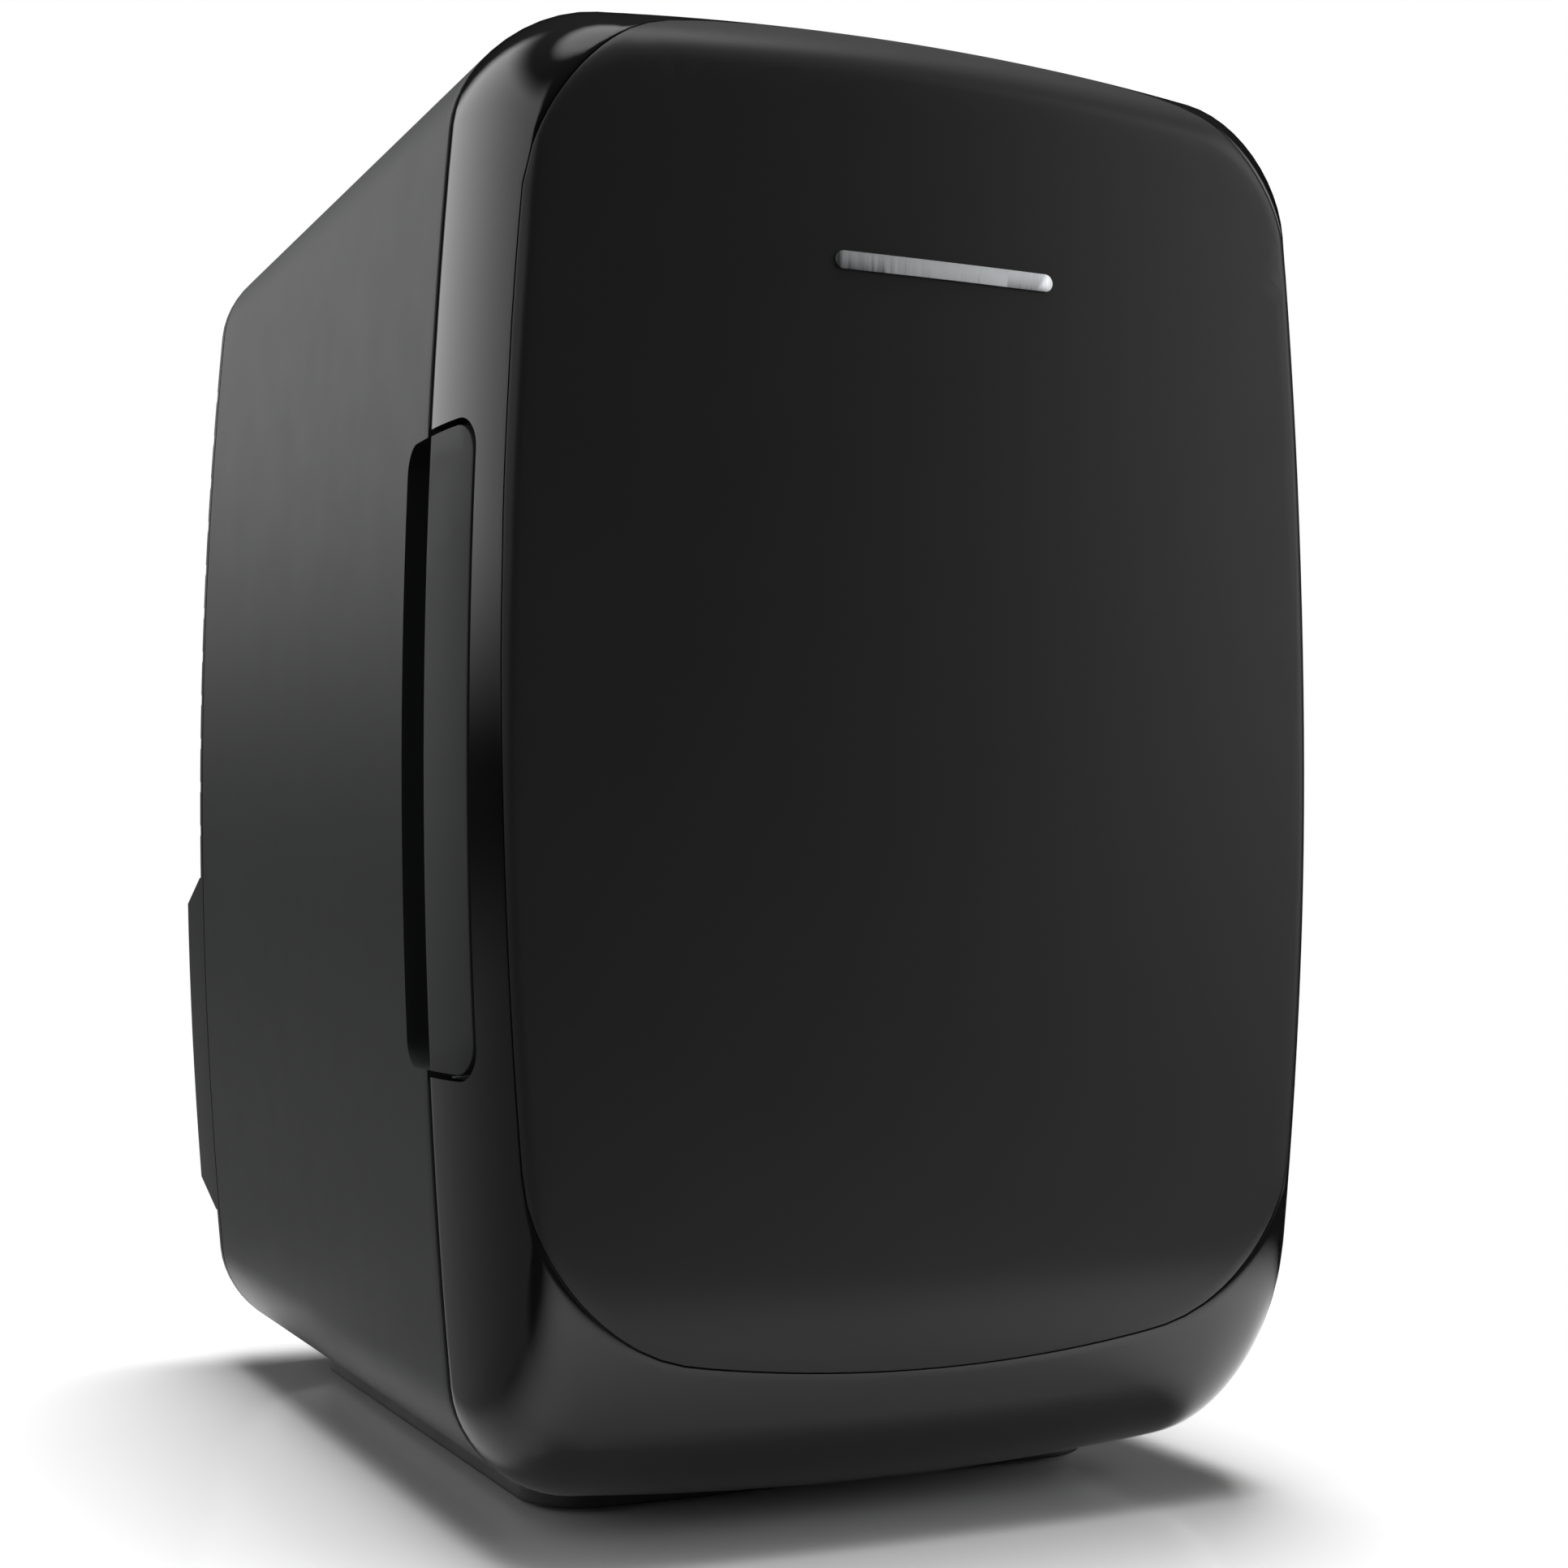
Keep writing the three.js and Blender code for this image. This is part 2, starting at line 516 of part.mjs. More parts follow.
// One horizontal groove right across the back, and the air slots along its floor.
function louvre(z) {
  const groove = new THREE.Shape();
  groove.moveTo(CABINET_DEPTH + LOUVRE.over, z - LOUVRE.width / 2);
  groove.lineTo(CABINET_DEPTH + LOUVRE.over, z + LOUVRE.width / 2);
  groove.lineTo(CABINET_DEPTH - LOUVRE.depth, z + LOUVRE.floor / 2);
  groove.lineTo(CABINET_DEPTH - LOUVRE.depth, z - LOUVRE.floor / 2);
  const reach = BODY.halfWidth * 2;
  const half = VENT.slot / 2;
  const slot = (x0, x1) => box(x0, x1, CABINET_DEPTH - 6, CABINET_DEPTH, z - half, z + half);
  return join(
    alongX(groove, -reach, reach),
    slot(-VENT.sideTo, -VENT.sideFrom),
    slot(-VENT.centre, VENT.centre),
    slot(VENT.sideFrom, VENT.sideTo),
  );
}

function backCover() {
  const front = CABINET_DEPTH - COVER_WALL;
  const plate = bodyBlock(0, front, CABINET_DEPTH);
  const hump = bodyBlock(0, front, humpBack + 1).intersect(humpProfile(0));
  const hollow = bodyBlock(HUMP.wall, front - 4, humpBack + 1).intersect(humpProfile(HUMP.wall));
  const lipTip = front - COVER_LIP.depth;
  const lip = cut(
    bodyBlock(SHELL_WALL + FIT, lipTip, front + 0.5),
    bodyBlock(SHELL_WALL + FIT + COVER_LIP.thick, lipTip - 1, front),
  );
  const postGaps = coverScrewAt.map(([x, z]) =>
    rodY(COVER_SCREW.boss + FIT, lipTip - 1, front - FIT / 2, x, z, 16),
  );
  const screwHoles = coverScrewAt.flatMap(([x, z]) => [
    rodY(COVER_SCREW.hole, front - 1, CABINET_DEPTH + 1, x, z, 10),
    rodY(COVER_SCREW.seat.radius, CABINET_DEPTH - COVER_SCREW.seat.depth, CABINET_DEPTH + 1, x, z, 14),
  ]);
  const fanPilots = fanScrewAt.map(([x, z]) => rodY(1.9, front - 1, front + 2.8, x, z, 10));
  const first = VENT_Z - ((LOUVRE.count - 1) / 2) * LOUVRE.pitch;
  const louvres = Array.from({ length: LOUVRE.count }, (_, i) => louvre(first + i * LOUVRE.pitch));
  const rockerHoleX = ROCKER.halfWidth + ROCKER.wall + FIT;
  const rockerHoleZ = ROCKER.halfHeight + ROCKER.wall + FIT;
  const wallTo = humpBack + 1;
  const wallFrom = humpBack - HUMP.wall - 1;
  const cutOuts = [
    box(
      MAINS.x - MAINS.halfWidth - FIT, MAINS.x + MAINS.halfWidth + FIT, wallFrom, wallTo,
      SERVICE_Z - MAINS.halfHeight - FIT, SERVICE_Z + MAINS.halfHeight + FIT,
    ),
    box(
      LOWVOLT.x - LOWVOLT.halfWidth - FIT, LOWVOLT.x + LOWVOLT.halfWidth + FIT, wallFrom, wallTo,
      SERVICE_Z - LOWVOLT.halfHeight - FIT, SERVICE_Z + LOWVOLT.halfHeight + FIT,
    ),
    box(
      ROCKER.x - rockerHoleX, ROCKER.x + rockerHoleX, wallFrom, wallTo,
      SERVICE_Z - rockerHoleZ, SERVICE_Z + rockerHoleZ,
    ),
    ...LAMP.x.map((x) => rodY(LAMP.radius + FIT, wallFrom, wallTo, x, SERVICE_Z, 16)),
  ];
  const moulding = join(plate, hump, cut(lip, ...postGaps));
  return cut(moulding, hollow, ...louvres, ...cutOuts, ...screwHoles, ...fanPilots);
}

// ---------------------------------------------------------------- electrics on the hump
// A panel inlet: flange outside the wall, body behind it, a mouth of any shape cut into it.
function inlet({ x, halfWidth, halfHeight }, mouth) {
  const flangeX = halfWidth + INLET.border;
  const flangeZ = halfHeight + INLET.border;
  const flange = rounded(x - flangeX, x + flangeX, SERVICE_Z - flangeZ, SERVICE_Z + flangeZ, INLET.corner);
  const back = humpBack + FIT;
  const body = box(
    x - halfWidth, x + halfWidth, back - INLET.length, back + INLET.flange / 2,
    SERVICE_Z - halfHeight, SERVICE_Z + halfHeight,
  );
  return cut(join(alongY(flange, back, back + INLET.flange), body), mouth);
}

const mouthBack = humpBack + FIT + INLET.flange;
const pinFloor = mouthBack - INLET.socket;

function mainsInlet() {
  const { x, mouth, mouthR } = MAINS;
  const shape = rounded(x - mouth, x + mouth, SERVICE_Z - mouthR, SERVICE_Z + mouthR, mouthR - 0.05);
  const pins = pinSeats(MAINS);
  return cut(inlet(MAINS, alongY(shape, pinFloor, mouthBack + 1)), ...pins);
}

function lowVoltInlet() {
  const { x, mouthX, mouthZ } = LOWVOLT;
  const shape = rounded(x - mouthX, x + mouthX, SERVICE_Z - mouthZ, SERVICE_Z + mouthZ, 1.5);
  const pins = pinSeats(LOWVOLT);
  return cut(inlet(LOWVOLT, alongY(shape, pinFloor, mouthBack + 1)), ...pins);
}

// Each contact pin stands in a hole in the socket's floor.
function pinSeats({ x, pinX }) {
  return [-1, 1].map((side) =>
    rodY(MAINS.pin + FIT, pinFloor - INLET.pinStart, pinFloor + 1, x + side * pinX, SERVICE_Z, 12),
  );
}

function contactPin({ x, pinX }, side) {
  const from = pinFloor - INLET.pinStart + FIT;
  return rodY(MAINS.pin, from, mouthBack - INLET.pinShort, x + side * pinX, SERVICE_Z, 12);
}

// The switch housing: a frame flush on the wall with a well for the rocker and holes for its pivots.
const rockerY = humpBack + FIT - ROCKER.pivot;

function switchBezel() {
  const { x, halfWidth, halfHeight, depth, clear, wall } = ROCKER;
  const back = humpBack + FIT;
  const body = box(
    x - halfWidth - wall, x + halfWidth + wall, back - depth - 4, back + 0.5,
    SERVICE_Z - halfHeight - wall, SERVICE_Z + halfHeight + wall,
  );
  const edge = wall + ROCKER.rim;
  const flange = rounded(
    x - halfWidth - edge, x + halfWidth + edge, SERVICE_Z - halfHeight - edge, SERVICE_Z + halfHeight + edge,
    INLET.corner,
  );
  const well = box(
    x - halfWidth - clear, x + halfWidth + clear, back - depth - 2.5, back + 2,
    SERVICE_Z - halfHeight - clear, SERVICE_Z + halfHeight + clear,
  );
  const pivots = rodX(1.3, x - halfWidth - wall + 0.4, x + halfWidth + wall - 0.4, rockerY, SERVICE_Z, 20);
  return cut(join(body, alongY(flange, back, back + INLET.flange)), well, pivots);
}

// The rocker: a round-backed paddle with a shallow V face, on two stub pivots.
function modeRocker() {
  const { x, halfWidth, halfHeight, pivot } = ROCKER;
  const reach = halfHeight - 0.9;
  const face = pivot + INLET.flange - 0.6;
  const side = new THREE.Shape();
  side.moveTo(rockerY + face, SERVICE_Z - reach);
  side.lineTo(rockerY + face - ROCKER.dip, SERVICE_Z);
  side.lineTo(rockerY + face, SERVICE_Z + reach);
  side.lineTo(rockerY + 0.6, SERVICE_Z + reach - 0.4);
  side.absarc(rockerY, SERVICE_Z, ROCKER.barrel, (Math.PI * 2) / 3, (Math.PI * 4) / 3);
  side.lineTo(rockerY + 0.6, SERVICE_Z - reach + 0.4);
  const paddle = alongX(side, x - halfWidth, x + halfWidth);
  const stub = halfWidth + 1.2;
  return join(paddle, rodX(ROCKER.axle, x - stub, x + stub, rockerY, SERVICE_Z, 20));
}

function lampLens(x) {
  const collar = humpBack - HUMP.wall - FIT;
  return join(
    rodY(LAMP.radius, humpBack - LAMP.length, humpBack + LAMP.proud, x, SERVICE_Z, 16),
    rodY(LAMP.radius + 1, collar - 1, collar, x, SERVICE_Z, 16),
  );
}

// ---------------------------------------------------------------- power board
function circuitBoard() {
  const { x, halfWidth, halfHeight, y, thick } = BOARD;
  return box(x - halfWidth, x + halfWidth, y, y + thick, SERVICE_Z - halfHeight, SERVICE_Z + halfHeight);
}

const boardFace = BOARD.y - FIT;
function transformer() {
  const { x, core, coil } = TRANSFORMER;
  const stack = ({ halfWidth, halfHeight, from, to }) =>
    box(
      x - halfWidth, x + halfWidth, boardFace - from, boardFace - to,
      SERVICE_Z - halfHeight, SERVICE_Z + halfHeight,
    );
  return join(stack(core), stack(coil));
}
const capacitor = (x) =>
  rodY(CAPACITOR.radius, boardFace - CAPACITOR.height, boardFace, x, SERVICE_Z + CAPACITOR.z, 18);

// ---------------------------------------------------------------- screws
// A cross-head screw along y: the head at y, the thread running towards -y for sign -1.
function screwY(x, z, y, sign, length, shank, head, headThick) {
  const shankTo = y + sign * length;
  const headTo = y - sign * headThick;
  const body = join(
    rodY(shank, Math.min(y, shankTo), Math.max(y, shankTo), x, z, 6),
    rodY(head, Math.min(y, headTo), Math.max(y, headTo), x, z, 10),
  );
  const slotFrom = headTo + (sign * headThick) / 2;
  const y0 = Math.min(slotFrom, headTo - sign);
  const y1 = Math.max(slotFrom, headTo - sign);
  const arm = head * 0.6;
  const wide = head * 0.14;
  return cut(
    body,
    box(x - arm, x + arm, y0, y1, z - wide, z + wide),
    box(x - wide, x + wide, y0, y1, z - arm, z + arm),
  );
}

const coverScrew = (x, z) =>
  screwY(x, z, CABINET_DEPTH - COVER_SCREW.seat.depth + FIT, -1, 12, 1.2, 2.9, 1.1);
const fanScrew = (x, z) => screwY(x, z, fanFront + 1.4, 1, FAN.depth + 0.9, 1.6, 3, 1.2);
const coldScrew = (side) =>
  screwY(side * COLD_SCREW_X, VENT_Z, coldFace - 2 * FIT - COLD.plateThick, 1, COLD.screw, 1.3, 3, 1.2);
const leafScrew = (z, side, length) =>
  screwY(
    leafScrewX, z, side * (SEAM + HINGE.head), side, length, LEAF_SCREW.shank, LEAF_SCREW.head, HINGE.head,
  );

// ---------------------------------------------------------------- hinge
const leafScrewX = HINGE.x - HINGE.width + HINGE.screwX;
function leafScrewZ(spread) {
  const reach = HINGE.halfLength - HINGE.screwIn - spread;
  return [MID_Z - reach, MID_Z + reach];
}

// One leaf with its knuckles round the pin. Side 1 lies on the cabinet, -1 on the door.
function hingeLeaf(side, knuckles, holes) {
  const near = side * SEAM;
  const far = side * (SEAM + HINGE.leaf);
  const y0 = Math.min(near, far);
  const y1 = Math.max(near, far);
  const z0 = MID_Z - HINGE.halfLength;
  const z1 = MID_Z + HINGE.halfLength;
  const bore = rodZ(HINGE.bore, z0 - 1, z1 + 1, HINGE.x, 0, 16);
  const flat = box(HINGE.x - HINGE.width, HINGE.x - HINGE.barrel - KNUCKLE_GAP, y0, y1, z0, z1);
  const arms = knuckles.map(([a, b]) =>
    join(rodZ(HINGE.barrel, a, b, HINGE.x, 0, 16), box(HINGE.x - HINGE.barrel - 1, HINGE.x, y0, y1, a, b)),
  );
  const sinkFloor = near + side * HINGE.sink;
  const screwHoles = holes.flatMap((z) => [
    rodY(HINGE.hole, y0 - 1, y1 + 1, leafScrewX, z, 10),
    rodY(HINGE.seat, Math.min(sinkFloor, -side), Math.max(sinkFloor, -side), leafScrewX, z, 12),
  ]);
  return cut(join(flat, ...arms), bore, ...screwHoles);
}

const cabinetKnuckles = [
  [MID_Z - HINGE.halfLength, MID_Z - HINGE.mid - KNUCKLE_GAP],
  [MID_Z + HINGE.mid + KNUCKLE_GAP, MID_Z + HINGE.halfLength],
];
const doorKnuckles = [[MID_Z - HINGE.mid, MID_Z + HINGE.mid]];
const hingePin = () =>
  rodZ(HINGE.pin, MID_Z - HINGE.halfLength + 0.5, MID_Z + HINGE.halfLength - 0.5, HINGE.x, 0, 16);

// ---------------------------------------------------------------- door
// The door's solid: a closed lathe whose rings are stretched onto the bowed outline. Its edge rolls from
// the seam to a gently crowned front, shallow at the sides and deep at the bottom.
function doorBody(inset, back) {
  const outline = bodyPoints(inset);
  const count = outline.length;
  const rollSteps = 6;
  const faceRings = [0.7, 0.35, 0];
  const rings = [[0, 0], [1, 0]];
  for (let i = 1; i <= rollSteps; i++) rings.push([1, (i / rollSteps) * (Math.PI / 2)]);
  faceRings.forEach((k) => rings.push([k, Math.PI / 2]));
  const profile = rings.map(([k], i) => new THREE.Vector2(k, i));
  const geometry = new THREE.LatheGeometry(profile, count);
  const place = geometry.attributes.position;
  const halfWidth = BODY.halfWidth + BODY.bowSide - inset;
  const halfHeight = MID_Z - inset;
  for (let v = 0; v < place.count; v++) {
    const ring = v % rings.length;
    const [x, z] = outline[Math.floor(v / rings.length) % count];
    const [scale, turn] = rings[ring];
    const roll = 1 - Math.cos(turn);
    const rollEnd = z > 0 ? DOOR.rollTop : DOOR.rollBottom;
    const px = x * (1 - (DOOR.rollSide * roll) / halfWidth) * scale;
    const pz = z * (1 - (rollEnd * roll) / halfHeight) * scale;
    const crown = DOOR.crownX * (1 - (px / halfWidth) ** 2) + DOOR.crownZ * (1 - (pz / halfHeight) ** 2);
    const depth = (DOOR.edge - inset + crown) * Math.sin(turn);
    place.setXYZ(v, px, turn > 0 ? -depth : -back, pz + MID_Z);
  }
  return solid(geometry);
}

const doorSkin = doorBody(0, SEAM);
const panelPrism = (grow) =>
  alongY(
    shapeOf(
      bowedPoints({
        halfWidth: PANEL.halfWidth + grow,
        halfHeight: PANEL.halfHeight + grow,
        corner: PANEL.corner + grow,
        bowSide: PANEL.bowSide,
        bowEnd: PANEL.bowEnd,
      }),
      PANEL.midZ,
    ),
    -DOOR.edge * 2,
    -DOOR.edge / 4,
  );

// The grip's outline seen from the side, grown for the groove around it.
function gripPrism(grow) {
  const r = GRIP.corner;
  const front = -GRIP.depth - grow;
  const shape = new THREE.Shape();
  shape.moveTo(0, GRIP.z1 + grow);
  shape.lineTo(front + r, GRIP.z1 + grow);
  shape.absarc(front + r, GRIP.z1 + grow - r, r, Math.PI / 2, Math.PI);
  shape.absarc(front + r, GRIP.z0 - grow + r, r, Math.PI, Math.PI * 1.5);
  shape.lineTo(0, GRIP.z0 - grow);
  return alongX(shape, -BODY.halfWidth * 2, recessInner - 0.5 + grow);
}

// The solid block that carries the door's hinge leaf, grown where a neighbour has to clear it.
function doorHingeBlock(grow = 0) {
  const { x0, y1, z0, z1 } = hingeBlock;
  return box(x0 - grow, BODY.halfWidth * 2, -y1 - 1 - grow, 0, z0 - grow, z1 + grow);
}

function doorBezel() {
  const cavity = doorBody(DOOR.wall, 0);
  const seat = cut(panelPrism(PANEL.reveal), doorBody(DOOR.pocket, 0));
  const ring = cut(doorSkin, cavity, seat, panelPrism(-PANEL.ledge), gripPrism(GRIP.reveal));
  const leafSeat = box(
    HINGE.x - HINGE.width - FIT, HINGE.x, -SEAM - HINGE.leaf - FIT, 0,
    MID_Z - HINGE.halfLength - FIT, MID_Z + HINGE.halfLength + FIT,
  );
  const pilots = leafScrewZ(DOOR_LEAF_SPREAD).map((z) =>
    rodY(HINGE.pilot, -LEAF_PILOT_DEPTH.door, 0, leafScrewX, z, 10),
  );
  return cut(join(ring, doorHingeBlock().intersect(doorSkin)), relief, leafSeat, ...pilots);
}

function doorPanel() {
  return doorSkin.intersect(panelPrism(0)).subtract(doorBody(DOOR.panel, 0));
}

// The grip: a skin flush with the door's side, and a lip behind it for the fingertips.
function doorGrip() {
  const skin = doorBody(FIT / 2, SEAM).intersect(gripPrism(0));
  const lip = box(-BODY.halfWidth * 2, 0, -SEAM - GRIP.lip, 1, 0, BODY.height);
  const inside = cut(doorBody(GRIP.wall, 0), lip);
  return cut(skin, inside);
}

// The gasket's outer outline, grown by a gap, and its inner outline, shrunk by one.
function gasketOuter(gap) {
  const x = GASKET.outer + gap;
  const rise = GASKET.outer - GASKET.inner + gap;
  return rounded(-x, x, GASKET.z0 - rise, GASKET.z1 + rise, GASKET.cornerOut + gap);
}
function gasketInner(gap) {
  const x = GASKET.inner - gap;
  return rounded(-x, x, GASKET.z0 + gap, GASKET.z1 - gap, GASKET.cornerIn);
}

// The inner door: a plate with a pan pressed into it and a groove for the gasket.
function doorLiner() {
  const outer = bodyBlock(DOOR.wall + 3 * FIT, -SEAM - DOOR.liner, -SEAM);
  const { halfWidth, z0, z1, depth, corner, wall } = PAN;
  const panOut = rounded(-halfWidth - wall, halfWidth + wall, z0 - wall, z1 + wall, corner + wall);
  const panIn = rounded(-halfWidth, halfWidth, z0, z1, corner);
  const grooveFloor = -SEAM - GASKET.seat;
  const groove = cut(
    alongY(gasketOuter(FIT), grooveFloor, 0),
    alongY(gasketInner(FIT), grooveFloor - 1, 1),
  );
  const magnets = MAGNET.z.map((z) =>
    box(MAGNET.x0 - FIT, MAGNET.x1 + FIT, -SEAM - 2 * DOOR.liner, 0, z - FIT, z + MAGNET.length + FIT),
  );
  return cut(
    join(outer, alongY(panOut, -SEAM - depth - wall, -SEAM)),
    alongY(panIn, -SEAM - depth, 0),
    groove,
    gripPrism(GRIP.reveal),
    doorHingeBlock(FIT),
    ...magnets,
  );
}

function doorFoam() {
  const { halfWidth, z0, z1, depth, corner, wall } = PAN;
  const w = wall + FIT;
  const pan = rounded(-halfWidth - w, halfWidth + w, z0 - w, z1 + w, corner + w);
  const fill = cut(
    doorBody(DOOR.wall + FIT, 0),
    box(-BODY.halfWidth * 2, BODY.halfWidth * 2, -SEAM - DOOR.liner - FIT, 1, -1, BODY.height + 1),
  );
  return cut(
    fill,
    alongY(pan, -SEAM - depth - w, 0),
    gripPrism(GRIP.reveal + 1).intersect(doorBody(0, 0)),
    doorHingeBlock(FIT),
    ...MAGNET.z.map((z) => box(MAGNET.x0 - 1, MAGNET.x1 + 1, -5, 0, z - 1, z + MAGNET.length + 1)),
  );
}

function doorGasket() {
  const back = -SEAM - GASKET.seat + FIT;
  return cut(alongY(gasketOuter(0), back, GASKET.proud), alongY(gasketInner(0), back - 1, GASKET.proud + 1));
}

const doorMagnet = (z) => box(MAGNET.x0, MAGNET.x1, -SEAM - MAGNET.thick, -SEAM, z, z + MAGNET.length);

// The clear bin low on the inside of the door, set into the pan.
function doorBin() {
  const { halfWidth, z0, z1, wall, front } = BIN;
  const deep = -SEAM - PAN.depth + FIT;
  return cut(
    box(-halfWidth, halfWidth, deep, front - SEAM, z0, z1),
    box(-halfWidth + wall, halfWidth - wall, deep + wall, front - SEAM - wall, z0 + wall, z1 + 1),
  );
}

// A plain raised bar high on the front.
function doorBadge() {
  const { halfWidth, height, z, proud } = BADGE;
  const half = height / 2;
  const shape = rounded(-halfWidth, halfWidth, z - half, z + half, half - 0.05);
  const bar = alongY(shape, -DOOR.edge * 2, -DOOR.edge / 2);
  return cut(bar.intersect(doorBody(-proud, SEAM)), doorBody(-FIT / 2, 0));
}

// ---------------------------------------------------------------- assembly
const LEVELS = ["lower", "upper"];
const SIDES = ["left", "right"];
const cabinet = new THREE.Group();
cabinet.add(
  piece("cabinet_shell", cabinetShell(), LOOK.satin),
  piece("front_frame", frontFrame(), LOOK.black),
  piece("inner_liner", innerLiner(), LOOK.light),
  piece("foam_insulation", foamInsulation(), LOOK.foam),
  piece("shelf", shelf(), LOOK.clear),
  piece("base_plinth", basePlinth(), LOOK.black),
  piece("back_cover", backCover(), LOOK.satin),
  piece("cold_plate", coldPlate(), LOOK.aluminium),
  piece("cold_block", coldBlock(), LOOK.aluminium),
  piece("peltier_module", peltierModule(), LOOK.ceramic),
  piece("heat_sink", heatSink(), LOOK.aluminium),
  piece("fan_frame", fanFrame(), LOOK.black),
  piece("circuit_board", circuitBoard(), LOOK.board),
  piece("transformer", transformer(), LOOK.steel),
  piece("capacitor_left", capacitor(CAPACITOR.x[0]), LOOK.black),
  piece("capacitor_right", capacitor(CAPACITOR.x[1]), LOOK.black),
  piece("mains_inlet", mainsInlet(), LOOK.black),
  piece("low_voltage_inlet", lowVoltInlet(), LOOK.black),
  piece("switch_bezel", switchBezel(), LOOK.black),
  piece("power_lamp_cold", lampLens(LAMP.x[0]), LOOK.clear),
  piece("power_lamp_warm", lampLens(LAMP.x[1]), LOOK.clear),
  piece("hinge_leaf_cabinet", hingeLeaf(1, cabinetKnuckles, leafScrewZ(0)), LOOK.steel),
  piece("hinge_pin", hingePin(), LOOK.steel),
);
FOOT_AT.forEach(([where, x, y]) => cabinet.add(piece(`foot_${where}`, foot(x, y), LOOK.rubber)));
MAGNET.z.forEach((z, i) => {
  cabinet.add(piece(`strike_plate_${LEVELS[i]}`, strikePlate(z), LOOK.steel));
});
SIDES.forEach((where, i) => {
  cabinet.add(piece(`mains_pin_${where}`, contactPin(MAINS, 2 * i - 1), LOOK.steel));
  cabinet.add(piece(`low_voltage_pin_${where}`, contactPin(LOWVOLT, 2 * i - 1), LOOK.steel));
});
const CORNERS = ["lower_left", "upper_left", "lower_right", "upper_right"];
CORNERS.forEach((where, i) => {
  cabinet.add(piece(`cover_screw_${where}`, coverScrew(...coverScrewAt[i]), LOOK.steel));
  cabinet.add(piece(`fan_screw_${where}`, fanScrew(...fanScrewAt[i]), LOOK.steel));
});
SIDES.forEach((where, i) => {
  cabinet.add(piece(`cold_plate_screw_${where}`, coldScrew(2 * i - 1), LOOK.steel));
});
leafScrewZ(0).forEach((z, i) => {
  const name = `cabinet_hinge_screw_${LEVELS[i]}`;
  cabinet.add(piece(name, leafScrew(z, 1, LEAF_SCREW.cabinet), LOOK.steel));
});

const door = new THREE.Group();
door.add(
  piece("door_bezel", doorBezel(), LOOK.piano),
  piece("door_panel", doorPanel(), LOOK.panel),
  piece("door_grip", doorGrip(), LOOK.grip),
  piece("door_liner", doorLiner(), LOOK.light),
  piece("door_foam", doorFoam(), LOOK.foam),
  piece("door_gasket", doorGasket(), LOOK.rubber),
  piece("door_bin", doorBin(), LOOK.clear),
  piece("door_badge", doorBadge(), LOOK.aluminium),
  piece("hinge_leaf_door", hingeLeaf(-1, doorKnuckles, leafScrewZ(DOOR_LEAF_SPREAD)), LOOK.steel),
);
MAGNET.z.forEach((z, i) => door.add(piece(`door_magnet_${LEVELS[i]}`, doorMagnet(z), LOOK.steel)));
leafScrewZ(DOOR_LEAF_SPREAD).forEach((z, i) => {
  const name = `door_hinge_screw_${LEVELS[i]}`;
  door.add(piece(name, leafScrew(z, -1, LEAF_SCREW.door), LOOK.steel));
});

const movers = new THREE.Group();
movers.add(piece("fan_rotor", fanRotor(), LOOK.black), piece("mode_rocker", modeRocker(), LOOK.black));

const fridge = new THREE.Group();
fridge.add(cabinet, door, movers);
const bounds = new THREE.Box3().setFromObject(fridge);
const middle = bounds.getCenter(new THREE.Vector3());
[cabinet, door, movers].forEach((group) => group.position.set(0, -middle.y, -FLOOR_Z));

export default fridge;
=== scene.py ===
"""A thermoelectric mini fridge: fine shells, trim and finishes built on its CAD frame."""
import json
import math

import bmesh
import bpy
import numpy as np
from mathutils import Matrix, Vector


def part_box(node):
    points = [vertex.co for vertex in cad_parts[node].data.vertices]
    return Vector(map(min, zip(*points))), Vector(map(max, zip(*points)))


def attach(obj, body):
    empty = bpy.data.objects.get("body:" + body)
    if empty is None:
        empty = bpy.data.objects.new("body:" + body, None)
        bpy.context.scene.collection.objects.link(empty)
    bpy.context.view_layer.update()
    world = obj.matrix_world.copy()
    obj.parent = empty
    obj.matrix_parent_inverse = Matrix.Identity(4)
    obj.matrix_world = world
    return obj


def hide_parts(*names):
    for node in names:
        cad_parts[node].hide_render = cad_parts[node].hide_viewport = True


bl_info = {
    "name": "Mini fridge workshop",
    "version": (1, 0, 0),
    "blender": (4, 5, 0),
    "location": "View3D > Sidebar > Fridge",
    "description": "Builds the fine shells, trim and finishes of a thermoelectric mini fridge on its CAD frame",
    "category": "Object",
}

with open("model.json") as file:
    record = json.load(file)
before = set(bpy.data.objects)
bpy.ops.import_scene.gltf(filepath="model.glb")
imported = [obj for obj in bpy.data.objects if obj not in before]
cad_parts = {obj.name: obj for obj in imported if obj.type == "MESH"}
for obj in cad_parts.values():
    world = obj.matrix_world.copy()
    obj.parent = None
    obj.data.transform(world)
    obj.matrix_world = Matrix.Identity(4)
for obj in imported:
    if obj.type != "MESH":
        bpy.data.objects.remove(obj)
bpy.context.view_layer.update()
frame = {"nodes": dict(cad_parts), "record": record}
MM = 0.001
X, Y, Z = range(3)

